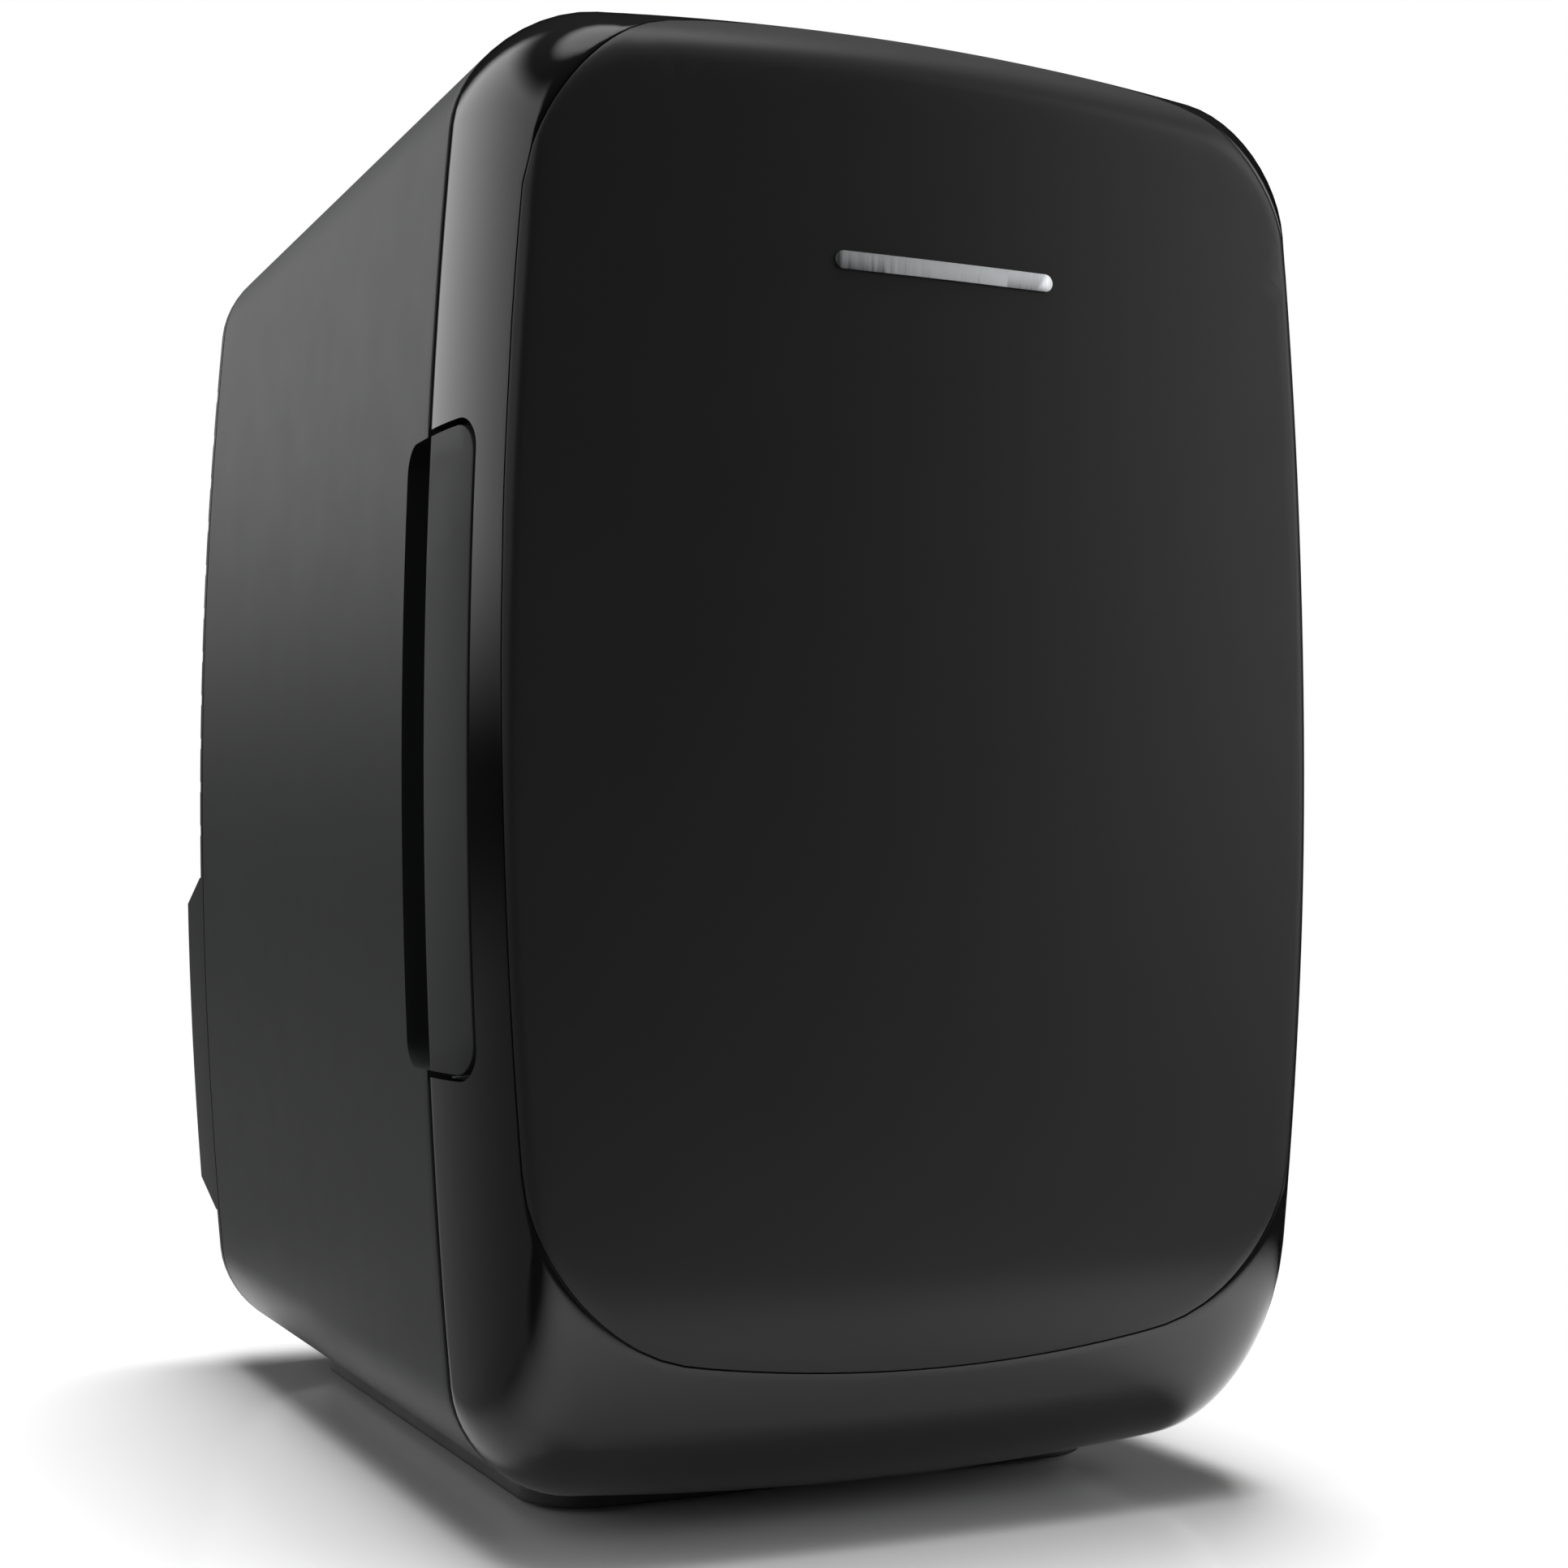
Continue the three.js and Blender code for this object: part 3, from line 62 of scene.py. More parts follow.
# ------------------------------------------------------------------ sizes taken from the frame
SHELL_LOW, SHELL_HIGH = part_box("cabinet_shell")
COVER_LOW, COVER_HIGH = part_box("back_cover")
PANEL_LOW, PANEL_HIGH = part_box("door_panel")
GRIP_LOW, GRIP_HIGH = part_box("door_grip")
LINER_LOW, LINER_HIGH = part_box("inner_liner")
SEAM = 0.75 * MM  # half the gap between door and cabinet
FIT = 0.3 * MM  # gap between neighbouring pieces
SEAM_Y = SHELL_LOW.y - SEAM
HALF_WIDTH = SHELL_HIGH.x
BASE_Z = SHELL_LOW.z
HEIGHT = SHELL_HIGH.z - SHELL_LOW.z
MID_Z = BASE_Z + HEIGHT / 2

# The cabinet's bowed outline, and the door's edge as it rolls from the seam to its crowned front.
CORNER, BOW_SIDE, BOW_END = 19 * MM, 7.1 * MM, 4.7 * MM
DOOR_EDGE, CROWN_X, CROWN_Z = 27.1 * MM, 4.6 * MM, 0.8 * MM
ROLL_SIDE, ROLL_TOP, ROLL_BOTTOM = 7.9 * MM, 15.3 * MM, 45 * MM
SHELL_WALL, DOOR_WALL = 2.4 * MM, 3 * MM

PANEL_CORNER, PANEL_BOW_SIDE, PANEL_BOW_END = 27.5 * MM, 6.6 * MM, 9.5 * MM
PANEL_MID_Z = (PANEL_LOW.z + PANEL_HIGH.z) / 2
PANEL_REVEAL, PANEL_SEAT, PANEL_THICK, PANEL_LEDGE = 0.08 * MM, 1.8 * MM, 1.5 * MM, 6 * MM
GRIP_CORNER, GRIP_REVEAL, GRIP_WALL, GRIP_LIP = 6 * MM, 1.1 * MM, 4 * MM, 2.6 * MM
RECESS_DEPTH, RECESS_REACH, RECESS_CORNER, RECESS_WALL = 12.5 * MM, 10 * MM, 5 * MM, 1.8 * MM
HINGE_X = HALF_WIDTH - 3.2 * MM
HINGE_BLOCK_X, HINGE_BLOCK_Z = 74.2 * MM, (56 * MM, 214 * MM)
BLOCK_DEPTH = {1: 8 * MM, -1: 9 * MM}  # of the hinge land in the cabinet and in the door
HINGE_BARREL, HINGE_BORE, HINGE_PIN, LEAF_THICK = 3 * MM, 1.6 * MM, 1.5 * MM, 1.2 * MM
OUTSIDE = 9 * MM  # how far past the cabinet's side a block or a tool reaches
FRAME_THICK = 2.4 * MM
LINER_WALL, LINER_CORNER, LINER_DEPTH, LINER_Z = 2 * MM, 10 * MM, 135 * MM, (24 * MM, 246 * MM)
COLD_SCREW_X = (-43 * MM, 43 * MM)
COVER_WALL, HUMP_WALL, HUMP_SLOPE = 3.4 * MM, 2.4 * MM, 7 * MM
HUMP_Z = (BASE_Z + 33 * MM, BASE_Z + 114 * MM)
COVER_BACK = SEAM_Y + 189 * MM  # the flat of the back
HUMP_BACK = COVER_BACK + 16 * MM
VENT_Z = BASE_Z + 178.5 * MM
LOUVRES, LOUVRE_PITCH, LOUVRE_DEPTH = 11, 10.6 * MM, 1.7 * MM
SERVICE_Z = sum(HUMP_Z) / 2

NODE_SLOT = {part["node"]: part["material_slot"] for part in frame["record"]["subparts"]}
NODE_BODY = {
    node: body for body, nodes in frame["record"]["behaviour"]["bodies"].items() for node in nodes
}
CORNERS = ("lower_left", "upper_left", "lower_right", "upper_right")
STRIKES = ("strike_plate_lower", "strike_plate_upper")
MAGNETS = ("door_magnet_lower", "door_magnet_upper")
FEET = ("foot_front_left", "foot_front_right", "foot_rear_left", "foot_rear_right")
LAMPS = ("power_lamp_cold", "power_lamp_warm")
FAN_SCREWS = [f"fan_screw_{where}" for where in CORNERS]


# ------------------------------------------------------------------ settings a user would change
class FridgeSizes(bpy.types.PropertyGroup):
    seam_round: bpy.props.FloatProperty(
        name="Seam rounding", description="Radius on the cabinet's and the door's edge along the seam",
        default=0.45 * MM, min=0.1 * MM, max=1 * MM, unit="LENGTH",
    )
    panel_round: bpy.props.FloatProperty(
        name="Panel rounding", description="Radius on the front panel's edge and on its seat",
        default=0.3 * MM, min=0.05 * MM, max=0.5 * MM, unit="LENGTH",
    )
    grip_round: bpy.props.FloatProperty(
        name="Grip rounding", description="Radius on the grip's edges",
        default=0.5 * MM, min=0.1 * MM, max=1 * MM, unit="LENGTH",
    )
    cover_round: bpy.props.FloatProperty(
        name="Cover rounding", description="Radius round the rim of the back cover and its hump",
        default=1.2 * MM, min=0.3 * MM, max=3 * MM, unit="LENGTH",
    )


def linear(code):
    """An sRGB hex colour as linear RGBA."""
    parts = [int(code[i:i + 2], 16) / 255 for i in (0, 2, 4)]
    return tuple(c / 12.92 if c <= 0.04045 else ((c + 0.055) / 1.055) ** 2.4 for c in parts) + (1.0,)


def colour(name, description, code):
    """A colour setting whose default is an sRGB hex colour."""
    return bpy.props.FloatVectorProperty(
        name=name, description=description, subtype="COLOR", size=4, min=0.0, max=1.0, default=linear(code)
    )


class FridgeColours(bpy.types.PropertyGroup):
    cabinet: colour("Cabinet", "Satin charcoal of the cabinet and the back cover", "363737")
    bezel: colour("Bezel", "High-gloss black of the door's frame", "181818")
    panel: colour("Panel", "Smoked front panel", "333333")
    grip: colour("Grip", "Soft-touch grey of the grip", "353636")
    trim: colour("Trim", "Plain black mouldings", "131313")
    liner: colour("Liner", "Pale grey food liner", "d9dbdb")
    rubber: colour("Rubber", "Gasket and feet", "151515")


class FridgeStudio(bpy.types.PropertyGroup):
    lens: bpy.props.FloatProperty(name="Lens", description="Focal length on a 36 mm sensor", default=57.4)
    shift_x: bpy.props.FloatProperty(name="Shift X", description="Sideways shift of the lens", default=-0.01)
    shift_y: bpy.props.FloatProperty(name="Shift Y", description="Rise of the lens", default=0.0518)
    place: bpy.props.FloatVectorProperty(
        name="Camera", description="Camera from the foot of the seam: right, back and up",
        default=(-0.21337, -0.42582, 0.11174), subtype="TRANSLATION", unit="LENGTH",
    )
    yaw: bpy.props.FloatProperty(
        name="Yaw", description="Turn to the right of straight ahead", default=math.radians(25.1), unit="ROTATION"
    )
    pitch: bpy.props.FloatProperty(
        name="Pitch", description="Tilt above level", default=math.radians(0.5), unit="ROTATION"
    )
    left_box: bpy.props.FloatProperty(
        name="Left softbox", description="Brightness of the long softbox on the left", default=1.45, min=0
    )
    right_box: bpy.props.FloatProperty(
        name="Right softbox", description="Brightness of the softbox to the right of the camera", default=2.3, min=0
    )
    fill: bpy.props.FloatProperty(
        name="Low fill", description="Brightness of the dim room below the left softbox", default=0.22, min=0
    )
    top_box: bpy.props.FloatProperty(
        name="Top softbox", description="Brightness of the softbox overhead", default=2.0, min=0
    )
    floor_lamp: bpy.props.FloatProperty(
        name="Floor lamp", description="Power of the broad lamp that whitens the floor, in watts", default=42.0, min=0
    )


# ------------------------------------------------------------------ outlines and rings
def outline(half_width, half_height, corner, bow_side=0.0, bow_end=0.0, mid_z=MID_Z, side_steps=26, corner_steps=12):
    """Points (x, z) round a rectangle with round corners whose four sides may bow out."""
    cx, cz = half_width - corner, half_height - corner
    centres = [(cx, cz), (-cx, cz), (-cx, -cz), (cx, -cz)]
    flat = []
    for turn, (x, z) in enumerate(centres):
        for i in range(corner_steps + 1):
            angle = (turn + i / corner_steps) * math.pi / 2
            flat.append((x + corner * math.cos(angle), z + corner * math.sin(angle)))
        nx, nz = centres[(turn + 1) % 4]
        angle = (turn + 1) * math.pi / 2
        end = (nx + corner * math.cos(angle), nz + corner * math.sin(angle))
        start = flat[-1]
        for i in range(1, side_steps):
            k = i / side_steps
            flat.append((start[0] + (end[0] - start[0]) * k, start[1] + (end[1] - start[1]) * k))
    points = np.array(flat)
    x, z = points[:, 0], points[:, 1]
    bowed_x = x * (1 + bow_side / half_width * (1 - (z / half_height) ** 2))
    bowed_z = z * (1 + bow_end / half_height * (1 - (x / half_width) ** 2))
    return np.stack([bowed_x, bowed_z + mid_z], 1)


def body_outline(inset=0.0):
    """The cabinet's outline, moved in by an inset."""
    return outline(
        HALF_WIDTH - BOW_SIDE - inset, HEIGHT / 2 - BOW_END - inset, CORNER - inset, BOW_SIDE, BOW_END
    )


def panel_outline(grow=0.0):
    """The front panel's outline, moved out by some growth."""
    half_width = PANEL_HIGH.x - PANEL_BOW_SIDE + grow
    half_height = (PANEL_HIGH.z - PANEL_LOW.z) / 2 - PANEL_BOW_END + grow
    return outline(half_width, half_height, PANEL_CORNER + grow, PANEL_BOW_SIDE, PANEL_BOW_END, PANEL_MID_Z)


def middle(node):
    """The centre of a CAD node's box."""
    return sum(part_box(node), Vector()) / 2


def window(half_width, low, high, corner):
    """A plain round-cornered outline between two heights above the cabinet's lowest line."""
    return outline(half_width, (high - low) / 2, corner, mid_z=BASE_Z + (low + high) / 2)


def at_y(points, y):
    """A flat outline as a ring of points at one depth."""
    return [Vector((x, y, z)) for x, z in points]


def arc(centre, radius, start, end, steps=8):
    """Points on a circle's arc between two angles in degrees."""
    angles = np.radians(np.linspace(start, end, steps + 1))
    return [(centre[0] + radius * math.cos(a), centre[1] + radius * math.sin(a)) for a in angles]


def rounded_rect(a0, a1, b0, b1, radius, steps=6):
    """A round-cornered rectangle as flat points."""
    points = arc((a1 - radius, b1 - radius), radius, 0, 90, steps)
    points += arc((a0 + radius, b1 - radius), radius, 90, 180, steps)
    points += arc((a0 + radius, b0 + radius), radius, 180, 270, steps)
    points += arc((a1 - radius, b0 + radius), radius, 270, 360, steps)
    return points


def softened(points, radius, steps=4):
    """A flat polygon with each corner turned into an arc. A radius may be given for each corner."""
    radii = radius if isinstance(radius, (list, tuple)) else [radius] * len(points)
    soft = []
    for i, point in enumerate(points):
        here = Vector(point)
        before = (Vector(points[i - 1]) - here).normalized()
        after = (Vector(points[(i + 1) % len(points)]) - here).normalized()
        if radii[i] <= 0:
            soft.append(tuple(here))
            continue
        half = before.angle(after) / 2
        reach = radii[i] / math.tan(half)
        centre = here + (before + after).normalized() * (radii[i] / math.sin(half))
        start = here + before * reach - centre
        sweep = (here + after * reach - centre).angle_signed(start)
        for k in range(steps + 1):
            soft.append(tuple(centre + Matrix.Rotation(sweep * k / steps, 2) @ start))
    return soft


# ------------------------------------------------------------------ mesh making
def loft(rings, closed=False, pole_start=False, pole_end=False, cap_start=False, cap_end=False):
    """A bmesh skin through rings of equal count, extruded ring by ring."""
    bm = bmesh.new()
    ring = bmesh.ops.create_circle(bm, segments=len(rings[0]), radius=1.0)["verts"]
    for vert, point in zip(ring, rings[0]):
        vert.co = point
    first_edges, first_ring = list(bm.edges), ring
    edges = first_edges
    for points in rings[1:]:
        made = bmesh.ops.extrude_edge_only(bm, edges=edges)["geom"]
        fresh = {v for v in made if isinstance(v, bmesh.types.BMVert)}
        edges = [e for e in made if isinstance(e, bmesh.types.BMEdge) and all(v in fresh for v in e.verts)]
        next_ring = []
        for vert in ring:
            next_ring.append(next(e.other_vert(vert) for e in vert.link_edges if e.other_vert(vert) in fresh))
        for vert, point in zip(next_ring, points):
            vert.co = point
        ring = next_ring
    if closed:
        bmesh.ops.bridge_loops(bm, edges=first_edges + edges)
    if cap_start:
        bmesh.ops.contextual_create(bm, geom=first_edges)
    if cap_end:
        bmesh.ops.contextual_create(bm, geom=edges)
    for wanted, verts in ((pole_start, first_ring), (pole_end, ring)):
        if wanted:
            bmesh.ops.pointmerge(bm, verts=verts, merge_co=sum((v.co for v in verts), Vector()) / len(verts))
    bmesh.ops.recalc_face_normals(bm, faces=bm.faces)
    return bm


def bevel(bm, edges, offset, segments):
    bmesh.ops.bevel(
        bm, geom=edges, offset=offset, offset_type="OFFSET", segments=segments, profile=0.5,
        affect="EDGES", clamp_overlap=True, material=-1,
    )


def sharp_edges(bm, degrees):
    return [e for e in bm.edges if e.is_manifold and e.calc_face_angle(0) > math.radians(degrees)]


def slab(low, high, radius=0.0, along=None, along_radius=0.0, segments=3):
    """A box between two corners. Edges along one axis can have a larger radius than the rest."""
    bm = bmesh.new()
    bmesh.ops.create_cube(bm, size=1.0)
    low, high = Vector(low), Vector(high)
    bmesh.ops.scale(bm, vec=high - low, verts=bm.verts)
    bmesh.ops.translate(bm, vec=(low + high) / 2, verts=bm.verts)
    if along is not None:
        chosen = [e for e in bm.edges if abs((e.verts[0].co - e.verts[1].co).normalized()[along]) > 0.9]
        bevel(bm, chosen, along_radius, 8)
    if radius:
        bevel(bm, sharp_edges(bm, 50), radius, segments)
    bmesh.ops.recalc_face_normals(bm, faces=bm.faces)
    return bm


def turned(profile, centre, axis=Y, steps=48, hollow=False):
    """A solid of revolution from (radius, along) pairs, from axis to axis or, if hollow, closed on itself."""
    bm = bmesh.new()
    verts = [bm.verts.new((radius, along, 0)) for radius, along in profile]
    pairs = list(zip(verts, verts[1:])) + ([(verts[-1], verts[0])] if hollow else [])
    edges = [bm.edges.new(pair) for pair in pairs]
    bmesh.ops.spin(
        bm, geom=verts + edges, cent=(0, 0, 0), axis=(0, 1, 0), angle=2 * math.pi, steps=steps, use_merge=True
    )
    bmesh.ops.remove_doubles(bm, verts=bm.verts, dist=0.0005 * MM)
    turn = (Matrix.Rotation(-math.pi / 2, 4, "Z"), Matrix(), Matrix.Rotation(math.pi / 2, 4, "X"))[axis]
    bmesh.ops.transform(bm, matrix=Matrix.Translation(centre) @ turn, verts=bm.verts)
    bmesh.ops.recalc_face_normals(bm, faces=bm.faces)
    return bm


def rod(radius, start, end, centre, axis=Y, steps=32, edge=0.0):
    """A round bar along an axis between two places on it, with rounded ends."""
    ends = [(0, start), (radius, start), (radius, end), (0, end)]
    if edge:
        ends = [(0, start)] + arc((radius - edge, start + edge), edge, -90, 0, 3)
        ends += arc((radius - edge, end - edge), edge, 0, 90, 3) + [(0, end)]
    place = Vector(centre)
    place[axis] = 0
    return turned(ends, place, axis, steps)


def tube(bore, radius, start, end, centre, axis=Y, steps=32, edge=0.0):
    """A round tube along an axis, with its outer and inner ends eased."""
    if edge:
        section = [(bore, start + edge), (bore + edge, start), (radius - edge, start), (radius, start + edge)]
        section += [(radius, end - edge), (radius - edge, end), (bore + edge, end), (bore, end - edge)]
    else:
        section = [(bore, start), (radius, start), (radius, end), (bore, end)]
    place = Vector(centre)
    place[axis] = 0
    return turned(section, place, axis, steps, hollow=True)


def prism(points, axis, start, end):
    """A closed flat outline carried along an axis. Its own two axes are the others, in order."""
    a, b = [i for i in range(3) if i != axis]
    rings = []
    for depth in (start, end):
        ring = []
        for point in points:
            place = Vector()
            place[a], place[b], place[axis] = point[0], point[1], depth
            ring.append(place)
        rings.append(ring)
    return loft(rings, cap_start=True, cap_end=True)


def plug(inset, front, back):
    """The body's outline, moved in by an inset, as a solid between two depths."""
    return loft([at_y(body_outline(inset), y) for y in (front, back)], cap_start=True, cap_end=True)


def as_object(bm, name):
    mesh = bpy.data.meshes.new(name)
    bm.to_mesh(mesh)
    bm.free()
    made = bpy.data.objects.new(name, mesh)
    bpy.context.scene.collection.objects.link(made)
    return made


def joined(*parts):
    """Several bmeshes as one."""
    whole = bmesh.new()
    for part in parts:
        mesh = bpy.data.meshes.new("part")
        part.to_mesh(mesh)
        part.free()
        whole.from_mesh(mesh)
        bpy.data.meshes.remove(mesh)
    return whole


def combine(base, tool, operation):
    """One exact boolean, applied. The two bmeshes are used up and a new one is returned."""
    first, second = as_object(base, "base"), as_object(tool, "tool")
    step = first.modifiers.new("step", "BOOLEAN")
    step.object, step.operation, step.solver = second, operation, "EXACT"
    result = bpy.data.meshes.new_from_object(first.evaluated_get(bpy.context.evaluated_depsgraph_get()))
    bm = bmesh.new()
    bm.from_mesh(result)
    meshes = [first.data, second.data, result]
    for made in (first, second):
        bpy.data.objects.remove(made)
    for mesh in meshes:
        bpy.data.meshes.remove(mesh)
    return bm


def cut(base, *tools):
    for tool in tools:
        base = combine(base, tool, "DIFFERENCE")
    return base


def unite(base, *tools):
    for tool in tools:
        base = combine(base, tool, "UNION")
    return base


def common(base, tool):
    return combine(base, tool, "INTERSECT")


def soften(bm, degrees, radius, segments=2):
    """Rounds every edge sharper than an angle."""
    bmesh.ops.remove_doubles(bm, verts=bm.verts, dist=0.02 * MM)
    bmesh.ops.dissolve_degenerate(bm, edges=bm.edges, dist=0.01 * MM)
    bevel(bm, sharp_edges(bm, degrees), radius, segments)
    return bm


def copy_of(node):
    """A CAD node's mesh as a clean bmesh, its loose triangles merged and its flats made whole."""
    bm = bmesh.new()
    bm.from_mesh(frame["nodes"][node].data)
    bmesh.ops.remove_doubles(bm, verts=bm.verts, dist=0.001 * MM)
    bmesh.ops.dissolve_limit(bm, angle_limit=math.radians(1), verts=bm.verts, edges=bm.edges)
    return bm


def piece(name, bm, *nodes, smooth=30.0):
    """Puts a bmesh in the scene as one finished piece that stands for its CAD nodes."""
    made = as_object(bm, name)
    for polygon in made.data.polygons:
        polygon.use_smooth = True
    made.data.set_sharp_from_angle(angle=math.radians(smooth))
    slot = NODE_SLOT[nodes[0]]
    made.data.materials.append(finish(SLOT_LOOK[slot]))
    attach(made, NODE_BODY[nodes[0]])
    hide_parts(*nodes)
    return made


# ------------------------------------------------------------------ finishes
def add(tree, kind, settings=None, **links):
    """Adds a node, sets its properties and sockets, and links sockets by name."""
    made = tree.nodes.new(kind)
    for key, value in (settings or {}).items():
        if isinstance(key, int) or key in made.inputs:
            made.inputs[key].default_value = value
        else:
            setattr(made, key, value)
    for socket, source in links.items():
        tree.links.new(source, made.inputs[socket.replace("_", " ")])
    return made


def per_metre(millimetres):
    """A texture scale whose features are this many millimetres apart."""
    return 1 / (millimetres * MM)


def new_finish(name):
    """An empty material: its tree, its main shader and its Object coordinates."""
    made = bpy.data.materials.new(name)
    made.use_nodes = True
    tree = made.node_tree
    tree.nodes.clear()
    shader = add(tree, "ShaderNodeBsdfPrincipled")
    add(tree, "ShaderNodeOutputMaterial", Surface=shader.outputs["BSDF"])
    return made, tree, shader, add(tree, "ShaderNodeTexCoord").outputs["Object"]


def chosen(part):
    """A colour from the settings."""
    return getattr(bpy.context.scene.fridge_colours, part)


def shade(rgba, factor):
    """A linear colour made lighter or darker."""
    return tuple(c * factor for c in rgba[:3]) + (1.0,)


def vary_colour(tree, shader, place, base, spread, size_mm):
    """Drifts the base colour between a darker and a lighter shade, as a moulding's flow does."""
    drift = add(tree, "ShaderNodeTexNoise", {"Scale": per_metre(size_mm), "Detail": 3.0}, Vector=place)
    tint = add(tree, "ShaderNodeValToRGB", Fac=drift.outputs["Fac"])
    tint.color_ramp.elements[0].position = 0.35
    tint.color_ramp.elements[0].color = shade(base, 1 - spread)
    tint.color_ramp.elements[1].position = 0.65
    tint.color_ramp.elements[1].color = shade(base, 1 + spread)
    tree.links.new(tint.outputs["Color"], shader.inputs["Base Color"])


def vary_gloss(tree, shader, source, middle, spread):
    """Drives roughness from a pattern, around a middle value."""
    gloss = add(
        tree, "ShaderNodeMapRange",
        {"From Min": 0.3, "From Max": 0.7, "To Min": middle - spread, "To Max": middle + spread}, Value=source,
    )
    tree.links.new(gloss.outputs["Result"], shader.inputs["Roughness"])


def relief(tree, shader, source, strength, height_mm):
    bump = add(tree, "ShaderNodeBump", {"Strength": strength, "Distance": height_mm * MM}, Height=source)
    tree.links.new(bump.outputs["Normal"], shader.inputs["Normal"])


def moulded(
    name, base, rough, rough_spread, grain_mm, height_mm, strength=0.4, spread=0.06, drift_mm=38, ior=1.5
):
    """A moulded plastic: faint colour drift, uneven gloss and an eroded grain."""
    made, tree, shader, place = new_finish(name)
    vary_colour(tree, shader, place, base, spread, drift_mm)
    handled = add(tree, "ShaderNodeTexNoise", {"Scale": per_metre(14), "Detail": 4.0}, Vector=place)
    vary_gloss(tree, shader, handled.outputs["Fac"], rough, rough_spread)
    grain = add(tree, "ShaderNodeTexNoise", {"Scale": per_metre(grain_mm), "Detail": 2.0}, Vector=place)
    relief(tree, shader, grain.outputs["Fac"], strength, height_mm)
    shader.inputs["IOR"].default_value = ior
    return made


def metal(name, code, rough, streak_mm, streak_axis, height_mm=0.01):
    """A bare metal with fine marks drawn out along one axis."""
    made, tree, shader, place = new_finish(name)
    stretch = [per_metre(streak_mm)] * 3
    stretch[streak_axis] = per_metre(streak_mm * 40)
    drawn = add(tree, "ShaderNodeMapping", {"Scale": stretch}, Vector=place)
    streaks = add(tree, "ShaderNodeTexNoise", {"Scale": 1.0, "Detail": 3.0}, Vector=drawn.outputs["Vector"])
    vary_colour(tree, shader, place, linear(code), 0.05, 9)
    vary_gloss(tree, shader, streaks.outputs["Fac"], rough, rough * 0.3)
    relief(tree, shader, streaks.outputs["Fac"], 0.25, height_mm)
    shader.inputs["Metallic"].default_value = 1.0
    return made


def clear_plastic(name, code, rough, ior=1.59):
    """Clear moulded plastic: see-through, with a faint uneven gloss."""
    made, tree, shader, place = new_finish(name)
    uneven = add(tree, "ShaderNodeTexNoise", {"Scale": per_metre(12), "Detail": 2.0}, Vector=place)
    vary_gloss(tree, shader, uneven.outputs["Fac"], rough, rough * 0.4)
    shader.inputs["Base Color"].default_value = linear(code)
    shader.inputs["Transmission Weight"].default_value = 0.92
    shader.inputs["IOR"].default_value = ior
    return made


def tune(made, socket, value):
    """Sets one socket of a material's main shader."""
    made.node_tree.nodes["Principled BSDF"].inputs[socket].default_value = value


def satin_textured_abs():
    # Injection-moulded ABS from a spark-eroded tool: an even satin that blurs what it mirrors.
    # The real grain is about 0.1 mm. It is drawn at 0.5 mm so that it shows at all.
    made = moulded("satin_textured_abs", chosen("cabinet"), 0.4, 0.012, 0.5, 0.008, strength=0.3, spread=0.02)
    tune(made, "Specular IOR Level", 0.2)
    return made


def piano_black_abs():
    # ABS from a polished tool: deep black under a clear mirror, with a long faint ripple in the skin.
    return moulded("piano_black_abs", chosen("bezel"), 0.07, 0.015, 11, 0.006, strength=0.08, spread=0.02)


def smoked_acrylic_sheet():
    # Acrylic with a fine hard coat: nearly black, duller and softer in its reflections than the bezel.
    made = moulded("smoked_acrylic_sheet", chosen("panel"), 0.3, 0.015, 0.6, 0.004, strength=0.1, spread=0.02)
    tune(made, "Specular IOR Level", 0.19)
    return made


def soft_touch_lacquer():
    # Rubbery lacquer over ABS: dull, slightly velvety grey that takes no clear reflection.
    made = moulded("soft_touch_lacquer", chosen("grip"), 0.55, 0.03, 0.5, 0.015, spread=0.04)
    tune(made, "Sheen Weight", 0.02)
    tune(made, "Specular IOR Level", 0.25)
    return made


def moulded_black_abs():
    # Plain black ABS as it leaves the tool: a matt black with a low sheen.
    return moulded("moulded_black_abs", chosen("trim"), 0.5, 0.05, 0.6, 0.015, spread=0.08)


def wipe_clean_polystyrene():
    # High-impact polystyrene, drawn over a smooth tool: pale, even, with a soft low sheen.
    return moulded("wipe_clean_polystyrene", chosen("liner"), 0.32, 0.04, 1.4, 0.008, spread=0.015, ior=1.59)


def moulded_nitrile_rubber():
    # Nitrile rubber, moulded: dull black with a dry, faintly dusty bloom.
    return moulded(
        "moulded_nitrile_rubber", chosen("rubber"), 0.78, 0.06, 0.7, 0.02, spread=0.12, drift_mm=9, ior=1.52
    )


def poured_polyurethane_foam():
    # Rigid foam poured between the shells: straw-coloured, matt, full of fine closed cells.
    made, tree, shader, place = new_finish("poured_polyurethane_foam")
    vary_colour(tree, shader, place, linear("dfcc98"), 0.1, 22)
    cells = add(tree, "ShaderNodeTexVoronoi", {"Scale": per_metre(0.9)}, Vector=place)
    relief(tree, shader, cells.outputs["Distance"], 0.5, 0.2)
    shader.inputs["Roughness"].default_value = 0.92
    return made


def fired_alumina():
    # Alumina ceramic, fired and lapped: off-white, dense and faintly grainy.
    return moulded("fired_alumina", linear("eceae2"), 0.48, 0.05, 0.8, 0.01, spread=0.03, drift_mm=6, ior=1.76)


def solder_masked_laminate():
    # Glass-epoxy laminate under green solder mask: glossy, with the glass weave just showing through.
    made, tree, shader, place = new_finish("solder_masked_laminate")
    vary_colour(tree, shader, place, linear("17522c"), 0.15, 7)
    weave = add(
        tree, "ShaderNodeTexWave", {"Scale": per_metre(1.2) / (2 * math.pi), "Distortion": 1.0}, Vector=place
    )
    relief(tree, shader, weave.outputs["Fac"], 0.2, 0.02)
    shader.inputs["Roughness"].default_value = 0.28
    return made


